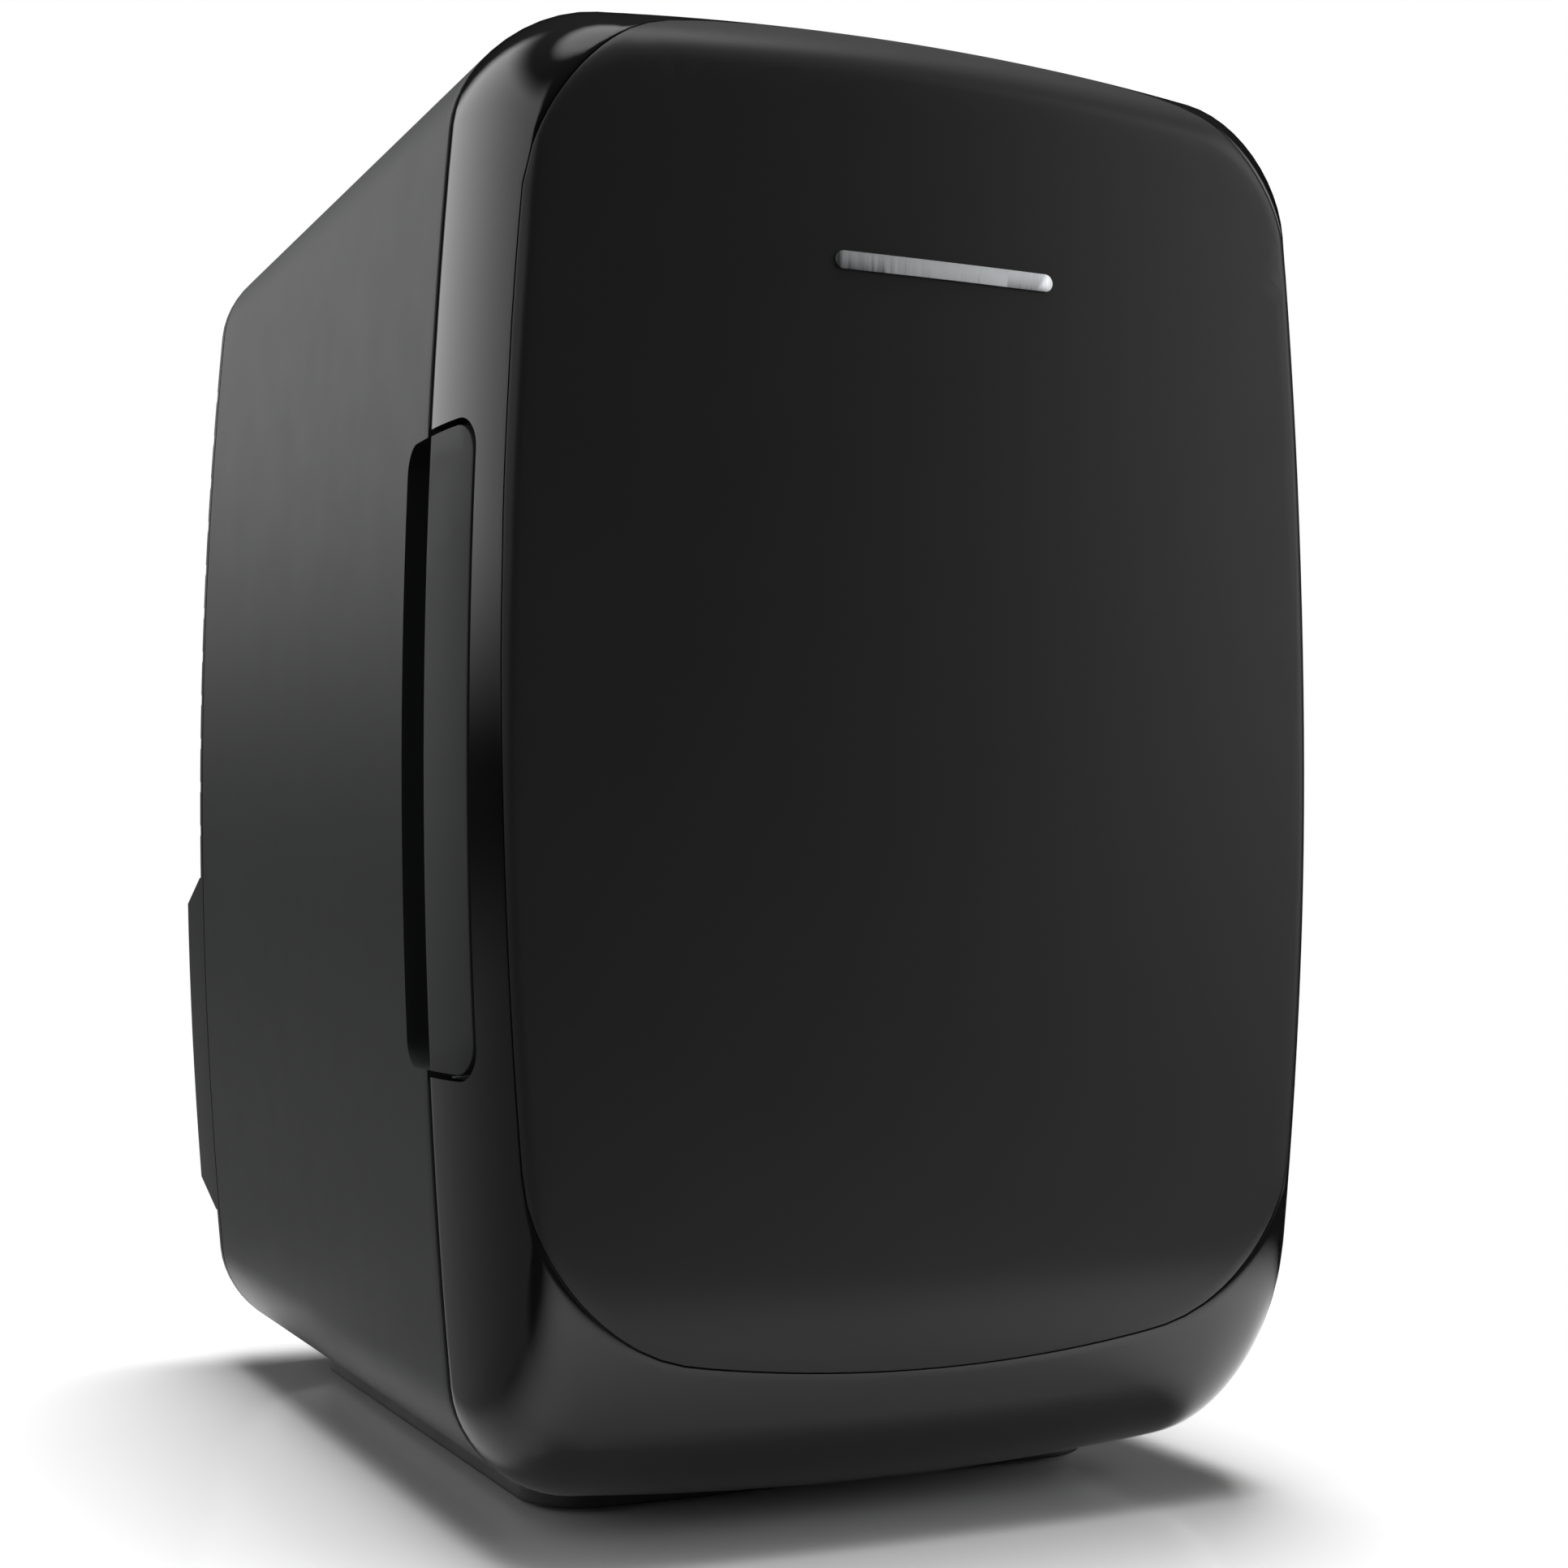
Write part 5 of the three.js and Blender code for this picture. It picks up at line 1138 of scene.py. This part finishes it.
def fan():
    """The fan: a square housing with a flared throat and four arms, and its seven-bladed impeller."""
    low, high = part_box("fan_frame")
    centre, bore, flare, past = (0, 0, VENT_Z), 38 * MM, 1.6 * MM, 1 * MM
    wide, eased = bore + flare, bore + 0.5 * MM
    throat = [(0, low.y - past), (wide, low.y - past), (wide, low.y), (eased, low.y + flare / 2)]
    throat += [(bore, low.y + flare), (bore, high.y - flare), (eased, high.y - flare / 2), (wide, high.y)]
    throat += [(wide, high.y + past), (0, high.y + past)]
    arm_y, half = high.y - 3 * MM, 1.5 * MM
    arms = []
    for turn in range(4):
        arm = slab((-half, arm_y, 12 * MM), (half, high.y - 0.1 * MM, bore + 1 * MM), 0.5 * MM)
        bmesh.ops.rotate(arm, verts=arm.verts, cent=(0, 0, 0), matrix=Matrix.Rotation(turn * math.pi / 2, 3, "Y"))
        bmesh.ops.translate(arm, verts=arm.verts, vec=centre)
        arms.append(arm)
    holes = []
    for node in FAN_SCREWS:
        holes.append(rod(2.1 * MM, low.y + 1.5 * MM, high.y + past, middle(node), steps=24))
        holes.append(rod(3.4 * MM, low.y - past, low.y + 1.6 * MM, middle(node), steps=32))
    housing = cut(slab(low, high, 0.6 * MM, Y, 5 * MM), turned(throat, centre, Y, 96), joined(*holes))
    housing = unite(housing, *arms, rod(15 * MM, arm_y, high.y, centre, steps=64, edge=0.6 * MM))
    housing = cut(housing, rod(1.6 * MM, arm_y - past, high.y - 0.8 * MM, centre, steps=32))
    piece("fan_housing", housing, "fan_frame")
    rotor_low, rotor_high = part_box("fan_rotor")
    front, back, hub, tip, ease, blades = rotor_low.y, arm_y - 0.6 * MM, 16 * MM, 36.2 * MM, 1.5 * MM, 7
    cap = [(0, front), (hub - ease, front)] + arc((hub - ease, front + ease), ease, -80, 0, 5)
    cap += [(hub, back), (0, back)]
    shaft = rod(1.5 * MM, back - 1 * MM, rotor_high.y, centre, steps=32, edge=0.2 * MM)
    parts = [turned(cap, centre, Y, 64), shaft]
    for i in range(blades):
        angle = 2 * math.pi * i / blades
        parts.append(fan_blade(hub - 1.2 * MM, tip, front + 0.3 * MM, back - 0.3 * MM, angle, centre))
    piece("fan_impeller", joined(*parts), "fan_rotor")


def fan_blade(root, tip, front, back, angle, centre):
    """One swept, cambered and twisted blade."""
    bm = bmesh.new()
    across, along = 10, 8
    bmesh.ops.create_grid(bm, x_segments=across, y_segments=along, size=0.5)
    for vert in bm.verts:
        chord, span = vert.co.x + 0.5, vert.co.y + 0.5
        radius = root + (tip - root) * span
        pitch = math.radians(52 - 16 * span)
        sweep = (chord - 0.5) * (back - front) / math.tan(pitch) / radius * 1.15
        camber = 1.1 * MM * math.sin(math.pi * chord)
        turn = sweep + 0.28 * span ** 2
        depth = front + (back - front) * chord - camber * 0.5
        vert.co = Vector((radius * math.sin(turn), min(max(depth, front), back), radius * math.cos(turn)))
    bmesh.ops.recalc_face_normals(bm, faces=bm.faces)
    bmesh.ops.solidify(bm, geom=bm.faces, thickness=1.1 * MM)
    for vert in bm.verts:
        reach = math.hypot(vert.co.x, vert.co.z)
        vert.co.x, vert.co.z = (c * min(1, tip / reach) for c in (vert.co.x, vert.co.z))
        vert.co.y = min(max(vert.co.y, front), back)
    bmesh.ops.rotate(bm, verts=bm.verts, cent=(0, 0, 0), matrix=Matrix.Rotation(angle, 3, "Y"))
    bmesh.ops.translate(bm, verts=bm.verts, vec=centre)
    bmesh.ops.recalc_face_normals(bm, faces=bm.faces)
    return bm


# ------------------------------------------------------------------ screws and hinge
def screw(node, sign, shank, head, thick, flat=False):
    """A cross-head screw along Y, running towards the back (1) or the front (-1)."""
    low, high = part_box(node)
    centre, length, pitch = (low + high) / 2, high.y - low.y, 0.8 * MM
    rise = 0 if flat else 0.35 * thick
    profile = [(0, 0), (head * 0.5, rise * 0.25), (head * 0.85, rise * 0.8), (head * 0.97, rise + 0.1 * MM)]
    profile += [(head, rise + 0.2 * MM), (head, thick - 0.05 * MM), (head * 0.97, thick), (shank, thick)]
    along = thick + 0.4 * MM
    while along + pitch < length - shank:
        profile += [(shank * 0.78, along), (shank, along + pitch / 2)]
        along += pitch
    profile += [(shank * 0.78, length - shank), (shank * 0.2, length - 0.05 * MM), (0, length)]
    body = turned(profile, (0, 0, 0), Y, 32)
    arm, wide, deep = head * 0.6, head * 0.13, thick * 0.55 + rise
    for x, z in ((arm, wide), (wide, arm)):
        corner = Vector((x, deep, z))
        body = cut(body, slab((-x, -1 * MM, -z), corner))
    if sign < 0:
        bmesh.ops.rotate(body, verts=body.verts, cent=(0, 0, 0), matrix=Matrix.Rotation(math.pi, 3, "X"))
    start = low.y if sign > 0 else high.y
    bmesh.ops.translate(body, verts=body.verts, vec=(centre.x, start, centre.z))
    piece(f"{node}_driven", body, node)


def screws():
    for where in CORNERS:
        screw(f"cover_screw_{where}", -1, 1.2 * MM, 2.85 * MM, 1.1 * MM)
        screw(f"fan_screw_{where}", 1, 1.6 * MM, 2.95 * MM, 1.2 * MM)
    for where in ("left", "right"):
        screw(f"cold_plate_screw_{where}", 1, 1.3 * MM, 2.95 * MM, 1.2 * MM)
    for where in ("lower", "upper"):
        screw(f"cabinet_hinge_screw_{where}", 1, 1 * MM, 1.95 * MM, 0.5 * MM, flat=True)
        screw(f"door_hinge_screw_{where}", -1, 1 * MM, 1.95 * MM, 0.5 * MM, flat=True)


def hinge():
    """The two leaves, each with its knuckles and countersunk holes, and the pin through them."""
    low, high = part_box("hinge_leaf_cabinet")
    gap, mid = 0.4 * MM, 26 * MM
    for side, body in ((1, "cabinet"), (-1, "door")):
        near = SEAM_Y + side * SEAM
        y0, y1 = sorted((near, SEAM_Y + side * (SEAM + LEAF_THICK)))
        leaf = slab((low.x, y0, low.z), (HINGE_X - HINGE_BARREL - 0.4 * MM, y1, high.z), 0.2 * MM, Y, 1.5 * MM)
        spans = [(low.z, MID_Z - mid - gap), (MID_Z + mid + gap, high.z)] if side > 0 else [(MID_Z - mid, MID_Z + mid)]
        for z0, z1 in spans:
            arm_low = (HINGE_X - HINGE_BARREL - 1 * MM, y0 + 0.01 * MM, z0)
            arm = slab(arm_low, (HINGE_X - 1.9 * MM, y1 - 0.01 * MM, z1))
            knuckle = tube(HINGE_BORE, HINGE_BARREL, z0, z1, (HINGE_X, SEAM_Y, 0), Z, 48, 0.25 * MM)
            leaf = unite(leaf, arm, knuckle)
        sink = sorted((near + side * 0.8 * MM, near - side * 2 * MM))
        for where in ("lower", "upper"):
            place = middle(f"{body}_hinge_screw_{where}")
            leaf = cut(leaf, rod(1.4 * MM, y0 - 1 * MM, y1 + 1 * MM, place, steps=24))
            leaf = cut(leaf, rod(2.3 * MM, *sink, place))
        piece(f"hinge_leaf_{body}_stamping", leaf, f"hinge_leaf_{body}")
    low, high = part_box("hinge_pin")
    piece("hinge_pin_rod", rod(HINGE_PIN, low.z, high.z, middle("hinge_pin"), Z, 32, 0.4 * MM), "hinge_pin")


# ------------------------------------------------------------------ door
def door_bezel(edge, ease):
    """The glossy frame: rolled skin, seat for the panel, hinge land. Edge and ease are radii."""
    rim = crossing(panel_outline(PANEL_REVEAL))
    before = crossing(panel_outline(PANEL_REVEAL + ease))
    half = crossing(panel_outline(PANEL_REVEAL + ease * 0.3))
    ledge = crossing(panel_outline(-PANEL_LEDGE))
    rings = []
    for angle in np.radians((0, 30, 60)):
        ring = door_ring(0.0, edge * (1 - math.sin(angle)))
        ring[:, Y] = SEAM_Y - SEAM - edge * (1 - math.cos(angle))
        rings.append(ring)
    first = math.asin((SEAM + edge) / DOOR_EDGE) / (math.pi / 2)
    rings += [door_skin(first + (before - first) * k) for k in np.linspace(0, 1, 30)]
    rings += [sunk(door_skin(half), ease * 0.3), sunk(door_skin(rim), ease), sunk(door_skin(rim), PANEL_SEAT)]
    rings += [sunk(door_skin(ledge), PANEL_SEAT), sunk(door_skin(ledge), DOOR_WALL)]
    for k in np.linspace(0, 1, 14):
        ring = door_skin(np.maximum(ledge * 0.985 * (1 - k), 0), DOOR_WALL)
        ring[:, Y] = np.minimum(ring[:, Y], SEAM_Y - SEAM)
        rings.append(ring)
    bezel = loft(as_rings(rings), closed=True)
    bezel = unite(bezel, common(hinge_block(-1), door_solid(0.05 * MM)))
    piece("door_bezel_moulding", cut(bezel, grip_prism(GRIP_REVEAL), hinge_relief(), leaf_seat(-1)), "door_bezel")


def door_panel(ease):
    """The front panel as one sheet that follows the door's crown."""
    rim, inside = crossing(panel_outline()), crossing(panel_outline(-ease))
    near = crossing(panel_outline(-ease * 0.3))
    rings = [sunk(door_skin(inside + (1.985 - inside) * k), PANEL_THICK) for k in np.linspace(1, 0, 10)]
    rings += [sunk(door_skin(rim), PANEL_THICK), sunk(door_skin(rim), ease), sunk(door_skin(near), ease * 0.3)]
    rings += [door_skin(inside + (1.985 - inside) * k) for k in np.linspace(0, 1, 34)]
    piece("front_panel_sheet", loft(as_rings(rings), pole_start=True, pole_end=True), "door_panel")


def door_grip(radius):
    skin = common(door_solid(FIT / 2), grip_prism(0.0))
    clear = slab(
        (-HALF_WIDTH * 2, SEAM_Y - SEAM - GRIP_LIP, 0), (HALF_WIDTH * 2, SEAM_Y + 5 * MM, BASE_Z + HEIGHT)
    )
    grip = cut(skin, cut(door_solid(GRIP_WALL), clear))
    piece("grip_insert", soften(grip, 40, radius), "door_grip")


def door_badge():
    """A plain raised bar that follows the crown of the door."""
    low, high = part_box("door_badge")
    end = (high.z - low.z) / 2 - 0.02 * MM
    bar = prism(rounded_rect(low.x, high.x, low.z, high.z, end, 10), Y, low.y - 9 * MM, high.y + 9 * MM)
    bar = cut(common(bar, door_solid(-0.43 * MM)), door_solid(-0.15 * MM))
    bevel(bar, sharp_edges(bar, 60), 0.1 * MM, 2)
    piece("badge_bar", bar, "door_badge")


def door_liner():
    """The pale inner door: a plate with a drawn pan and a groove for the gasket."""
    face, thick, deep = SEAM_Y - SEAM, 2.4 * MM, 15 * MM
    ease, cove, groove_deep, groove_wide = 1.2 * MM, 4 * MM, 2 * MM, 5 * MM

    def pan(inset, y):
        return at_y(window(60 * MM - inset, 38 * MM + inset, 232 * MM - inset, 8 * MM - inset), y)

    def groove(grow, y):
        return at_y(window(68.2 * MM + grow, 21.8 * MM - grow, 248.2 * MM + grow, 10 * MM + grow), y)

    rings = [pan(cove, face - deep)]
    for angle in np.radians(np.linspace(75, 0, 6)):
        rings.append(pan(cove * (1 - math.cos(angle)), face - deep + cove * (1 - math.sin(angle))))
    rings.append(pan(0, face - ease))
    for angle in np.radians((60, 30, 0)):
        rings.append(pan(-ease + ease * math.sin(angle), face - ease + ease * math.cos(angle)))
    rings += [groove(-FIT, face), groove(-FIT, face - groove_deep)]
    rings += [groove(groove_wide + FIT, face - groove_deep), groove(groove_wide + FIT, face)]
    outer = DOOR_WALL + 3 * FIT
    rings += [at_y(body_outline(outer + 0.3 * MM), face), at_y(body_outline(outer), face - 0.3 * MM)]
    rings += [at_y(body_outline(outer), face - thick), pan(-2 * MM, face - thick)]
    rings += [pan(-2 * MM, face - deep), pan(1 * MM, face - deep - 2 * MM)]
    plate = loft(rings, cap_start=True, cap_end=True)
    plate = cut(plate, grip_prism(GRIP_REVEAL), hinge_block(-1, 0.0, FIT), plate_seats(MAGNETS))
    piece("inner_door_liner", plate, "door_liner")


def door_gasket():
    """The seal round the inner door: two soft ribs on a flat foot."""
    low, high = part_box("door_gasket")
    foot, crest, width = low.y, high.y, 5 * MM
    section = [(0, foot), (0, crest - 0.9 * MM)]
    for start in (0.1, 2.6):
        section += [(start * MM, crest - 0.5 * MM), ((start + 0.35) * MM, crest - 0.15 * MM), ((start + 1.1) * MM, crest)]
        section += [((start + 1.9) * MM, crest - 0.2 * MM), ((start + 2.2) * MM, crest - 0.9 * MM)]
    section += [(width, crest - 1 * MM), (width, foot)]
    half_height = (high.z - low.z) / 2
    rings = []
    for inset, y in section:
        share = inset / width
        corner = 14.7 * MM - 4.7 * MM * share
        rings.append(at_y(outline(high.x - inset, half_height - inset, corner, mid_z=(low.z + high.z) / 2), y))
    piece("door_seal", loft(rings, closed=True), "door_gasket")


def door_bin():
    low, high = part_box("door_bin")
    wall = 1.8 * MM
    outside = slab(low, high, 0.6 * MM, Z, 2.5 * MM)
    inside_high = (high.x - wall, high.y - wall, high.z + 3 * MM)
    inside = slab((low.x + wall, low.y + wall, low.z + wall), inside_high, 0.5 * MM, Z, 1.5 * MM)
    piece("door_bin_tray", cut(outside, inside), "door_bin")


def door_magnets():
    for node in MAGNETS:
        piece(f"{node}_bar", slab(*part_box(node), 0.25 * MM), node)


def hidden_foam():
    dress("foam_insulation")
    dress("door_foam")


# ------------------------------------------------------------------ studio
def soft_edge(tree, value, start, end):
    """1 inside and 0 outside, eased between two values of a coordinate."""
    settings = {"interpolation_type": "SMOOTHSTEP", "From Min": start, "From Max": end}
    return add(tree, "ShaderNodeMapRange", settings, Value=value).outputs["Result"]


def fold(tree, operation, values):
    """Combines several values with one operation, one after another."""
    total = values[0]
    for value in values[1:]:
        node = add(tree, "ShaderNodeMath", {"operation": operation})
        tree.links.new(total, node.inputs[0])
        if isinstance(value, float):
            node.inputs[1].default_value = value
        else:
            tree.links.new(value, node.inputs[1])
        total = node.outputs[0]
    return total


def studio_dome(studio):
    """Soft boxes painted on the sky: long on the left, overhead, and to the right of the camera.
    Azimuth is in degrees from the back towards the right, elevation in degrees above the floor."""
    world = bpy.data.worlds.new("studio_dome")
    world.use_nodes = True
    tree = world.node_tree
    tree.nodes.clear()
    direction = add(tree, "ShaderNodeTexCoord").outputs["Generated"]
    parts = add(tree, "ShaderNodeSeparateXYZ", Vector=direction)
    azimuth, height = fold(tree, "ARCTAN2", [parts.outputs["X"], parts.outputs["Y"]]), parts.outputs["Z"]

    def box(az_from, az_to, el_from, el_to, soft_az, soft_low, soft_high, brightness):
        left, right = math.radians(az_from), math.radians(az_to)
        levels = (el_from - soft_low, el_from + soft_low, el_to + soft_high, el_to - soft_high)
        rise = [math.sin(math.radians(level)) for level in levels]
        ease = math.radians(soft_az)
        return fold(tree, "MULTIPLY", [
            soft_edge(tree, azimuth, left - ease, left + ease), soft_edge(tree, azimuth, right + ease, right - ease),
            soft_edge(tree, height, rise[0], rise[1]), soft_edge(tree, height, rise[2], rise[3]), brightness,
        ])

    diffuse = add(tree, "ShaderNodeLightPath").outputs["Is Diffuse Ray"]
    # The left box lights dull surfaces less than it shows in glossy ones, which keeps the side dark.
    gentle = add(tree, "ShaderNodeMapRange", {"To Min": 1.0, "To Max": 0.4}, Value=diffuse).outputs["Result"]
    overhead = soft_edge(tree, height, math.sin(math.radians(66)), math.sin(math.radians(77)))
    boxes = [
        fold(tree, "MULTIPLY", [box(-128, -10, 7, 50, 6, 4.5, 8, studio.left_box), gentle]),
        box(95, 141, -2, 40, 17, 9, 12, studio.right_box),
        box(-135, 25, -50, -3, 10, 12, 4, studio.fill),
        fold(tree, "MULTIPLY", [overhead, studio.top_box]),
    ]
    white = (1, 1, 1, 1)
    lit = add(tree, "ShaderNodeBackground", {"Color": white}, Strength=fold(tree, "ADD", boxes))
    plain = add(tree, "ShaderNodeBackground", {"Color": white, "Strength": 1.0})
    seen = add(tree, "ShaderNodeLightPath").outputs["Is Camera Ray"]
    mix = add(tree, "ShaderNodeMixShader", Fac=seen)
    tree.links.new(lit.outputs[0], mix.inputs[1])
    tree.links.new(plain.outputs[0], mix.inputs[2])
    add(tree, "ShaderNodeOutputWorld", Surface=mix.outputs[0])
    bpy.context.scene.world = world


def white_studio_floor():
    # White lacquered board with a slight sheen, which fades out into the white of the studio. Left of
    # the object it is left out of what the object mirrors, as a black flag there would do.
    made, tree, shader, place = new_finish("white_lacquered_board")
    beyond = place
    steps = (
        ("ABSOLUTE", None), ("SUBTRACT", (HALF_WIDTH, COVER_BACK, 1)), ("MULTIPLY", (1.4, 1, 1)),
        ("MAXIMUM", (0, 0, 0)),
    )
    for operation, size in steps:
        node = add(tree, "ShaderNodeVectorMath", {"operation": operation})
        tree.links.new(beyond, node.inputs[0])
        if size:
            node.inputs[1].default_value = size
        beyond = node.outputs["Vector"]
    distance = add(tree, "ShaderNodeVectorMath", {"operation": "LENGTH"})
    tree.links.new(beyond, distance.inputs[0])
    near = add(
        tree, "ShaderNodeMapRange",
        {"interpolation_type": "SMOOTHSTEP", "From Min": 0.2, "From Max": 0.07}, Value=distance.outputs["Value"],
    )
    across = add(tree, "ShaderNodeSeparateXYZ", Vector=place).outputs["X"]
    lit = soft_edge(tree, across, -HALF_WIDTH - 25 * MM, -HALF_WIDTH + 10 * MM)
    seen = add(tree, "ShaderNodeLightPath").outputs["Is Camera Ray"]
    shown = fold(tree, "MULTIPLY", [near.outputs["Result"], fold(tree, "MAXIMUM", [lit, seen])])
    tree.links.new(shown, shader.inputs["Alpha"])
    shader.inputs["Base Color"].default_value = (0.92, 0.92, 0.92, 1)
    shader.inputs["Roughness"].default_value = 0.1
    return made


def lamp(name, place, target, width, height, power):
    """A soft rectangular lamp that lights without being mirrored or seen."""
    data = bpy.data.lights.new(name, "AREA")
    data.shape = "RECTANGLE"
    data.size, data.size_y, data.energy = width, height, power
    made = bpy.data.objects.new(name, data)
    made.location = place
    made.rotation_mode = "QUATERNION"
    made.rotation_quaternion = (Vector(target) - Vector(place)).to_track_quat("-Z", "Y")
    made.visible_glossy = False
    made.visible_camera = False
    bpy.context.scene.collection.objects.link(made)


def stage(studio):
    floor = bmesh.new()
    bmesh.ops.create_circle(floor, cap_ends=True, segments=96, radius=1.0)
    ground = as_object(floor, "studio_floor")
    ground.data.materials.append(white_studio_floor())
    camera_data = bpy.data.cameras.new("studio_camera")
    camera_data.sensor_width = 36.0
    camera_data.lens = studio.lens
    camera_data.shift_x, camera_data.shift_y = studio.shift_x, studio.shift_y
    camera_data.clip_start = 0.01
    camera = bpy.data.objects.new("studio_camera", camera_data)
    bpy.context.scene.collection.objects.link(camera)
    camera.location = Vector((0, SEAM_Y, BASE_Z)) + Vector(studio.place)
    forward = Vector((
        math.sin(studio.yaw) * math.cos(studio.pitch), math.cos(studio.yaw) * math.cos(studio.pitch),
        math.sin(studio.pitch),
    ))
    camera.rotation_mode = "QUATERNION"
    camera.rotation_quaternion = forward.to_track_quat("-Z", "Y")
    bpy.context.scene.camera = camera
    bpy.context.scene.view_settings.view_transform = "Standard"
    studio_dome(studio)
    lamp("floor_lamp", (0.1, 0.2, 1.3), (0, 0, 0), 0.9, 0.9, studio.floor_lamp)


# ------------------------------------------------------------------ operators
class FRIDGE_OT_studio(bpy.types.Operator):
    """Set up the floor, the camera and the soft light"""
    bl_idname = "fridge.studio"
    bl_label = "Studio"

    def execute(self, context):
        stage(context.scene.fridge_studio)
        return {"FINISHED"}


class FRIDGE_OT_cabinet(bpy.types.Operator):
    """Build the cabinet shell, the doorway frame and its strike plates"""
    bl_idname = "fridge.cabinet"
    bl_label = "Cabinet shell and doorway"

    def execute(self, context):
        cabinet_shell(context.scene.fridge_sizes.seam_round)
        front_frame()
        strike_plates()
        return {"FINISHED"}


class FRIDGE_OT_food_space(bpy.types.Operator):
    """Build the food liner, its shelf and the cold plate"""
    bl_idname = "fridge.food_space"
    bl_label = "Food liner and shelf"

    def execute(self, context):
        inner_liner()
        shelf()
        cold_plate()
        return {"FINISHED"}


class FRIDGE_OT_base(bpy.types.Operator):
    """Build the plinth and its four rubber feet"""
    bl_idname = "fridge.base"
    bl_label = "Plinth and feet"

    def execute(self, context):
        plinth_and_feet()
        return {"FINISHED"}


class FRIDGE_OT_back(bpy.types.Operator):
    """Build the louvred back cover with its service hump"""
    bl_idname = "fridge.back"
    bl_label = "Back cover"

    def execute(self, context):
        back_cover(context.scene.fridge_sizes.cover_round)
        return {"FINISHED"}


class FRIDGE_OT_service(bpy.types.Operator):
    """Build the inlets, the mode switch and the lamps on the hump"""
    bl_idname = "fridge.service"
    bl_label = "Inlets, switch and lamps"

    def execute(self, context):
        inlets()
        switch()
        lamps()
        return {"FINISHED"}


class FRIDGE_OT_cooling(bpy.types.Operator):
    """Build the cooling unit: blocks, heat sink, fan and power board"""
    bl_idname = "fridge.cooling"
    bl_label = "Cooling unit"

    def execute(self, context):
        core_blocks()
        heat_sink()
        fan()
        hidden_foam()
        return {"FINISHED"}


class FRIDGE_OT_fasteners(bpy.types.Operator):
    """Build the screws, the hinge leaves and the hinge pin"""
    bl_idname = "fridge.fasteners"
    bl_label = "Screws and hinge"

    def execute(self, context):
        screws()
        hinge()
        return {"FINISHED"}


class FRIDGE_OT_door_front(bpy.types.Operator):
    """Build the door's glossy bezel, its front panel, grip and badge bar"""
    bl_idname = "fridge.door_front"
    bl_label = "Door front"

    def execute(self, context):
        sizes = context.scene.fridge_sizes
        door_bezel(sizes.seam_round, sizes.panel_round)
        door_panel(sizes.panel_round * 0.8)
        door_grip(sizes.grip_round)
        door_badge()
        return {"FINISHED"}


class FRIDGE_OT_door_inside(bpy.types.Operator):
    """Build the inner door liner, its seal, bin and magnets"""
    bl_idname = "fridge.door_inside"
    bl_label = "Door inside"

    def execute(self, context):
        door_liner()
        door_gasket()
        door_bin()
        door_magnets()
        return {"FINISHED"}


OPERATORS = (
    FRIDGE_OT_studio, FRIDGE_OT_cabinet, FRIDGE_OT_food_space, FRIDGE_OT_base, FRIDGE_OT_back, FRIDGE_OT_service,
    FRIDGE_OT_cooling, FRIDGE_OT_fasteners, FRIDGE_OT_door_front, FRIDGE_OT_door_inside,
)


class FRIDGE_PT_workshop(bpy.types.Panel):
    """Lists the settings and the build steps"""
    bl_idname = "FRIDGE_PT_workshop"
    bl_label = "Mini fridge"
    bl_space_type = "VIEW_3D"
    bl_region_type = "UI"
    bl_category = "Fridge"

    def draw(self, context):
        for group in (context.scene.fridge_sizes, context.scene.fridge_colours, context.scene.fridge_studio):
            box = self.layout.box()
            for name in group.bl_rna.properties.keys()[2:]:
                box.prop(group, name)
        for operator in OPERATORS:
            self.layout.operator(operator.bl_idname)


GROUPS = (
    ("fridge_sizes", FridgeSizes), ("fridge_colours", FridgeColours), ("fridge_studio", FridgeStudio),
)


def register():
    for name, group in GROUPS:
        bpy.utils.register_class(group)
        setattr(bpy.types.Scene, name, bpy.props.PointerProperty(type=group))
    for each in (*OPERATORS, FRIDGE_PT_workshop):
        bpy.utils.register_class(each)


def unregister():
    for each in (FRIDGE_PT_workshop, *reversed(OPERATORS)):
        bpy.utils.unregister_class(each)
    for name, group in reversed(GROUPS):
        delattr(bpy.types.Scene, name)
        bpy.utils.unregister_class(group)


def main():
    register()
    for operator in OPERATORS:
        getattr(bpy.ops.fridge, operator.bl_idname.split(".")[1])()


if __name__ == "__main__":
    main()
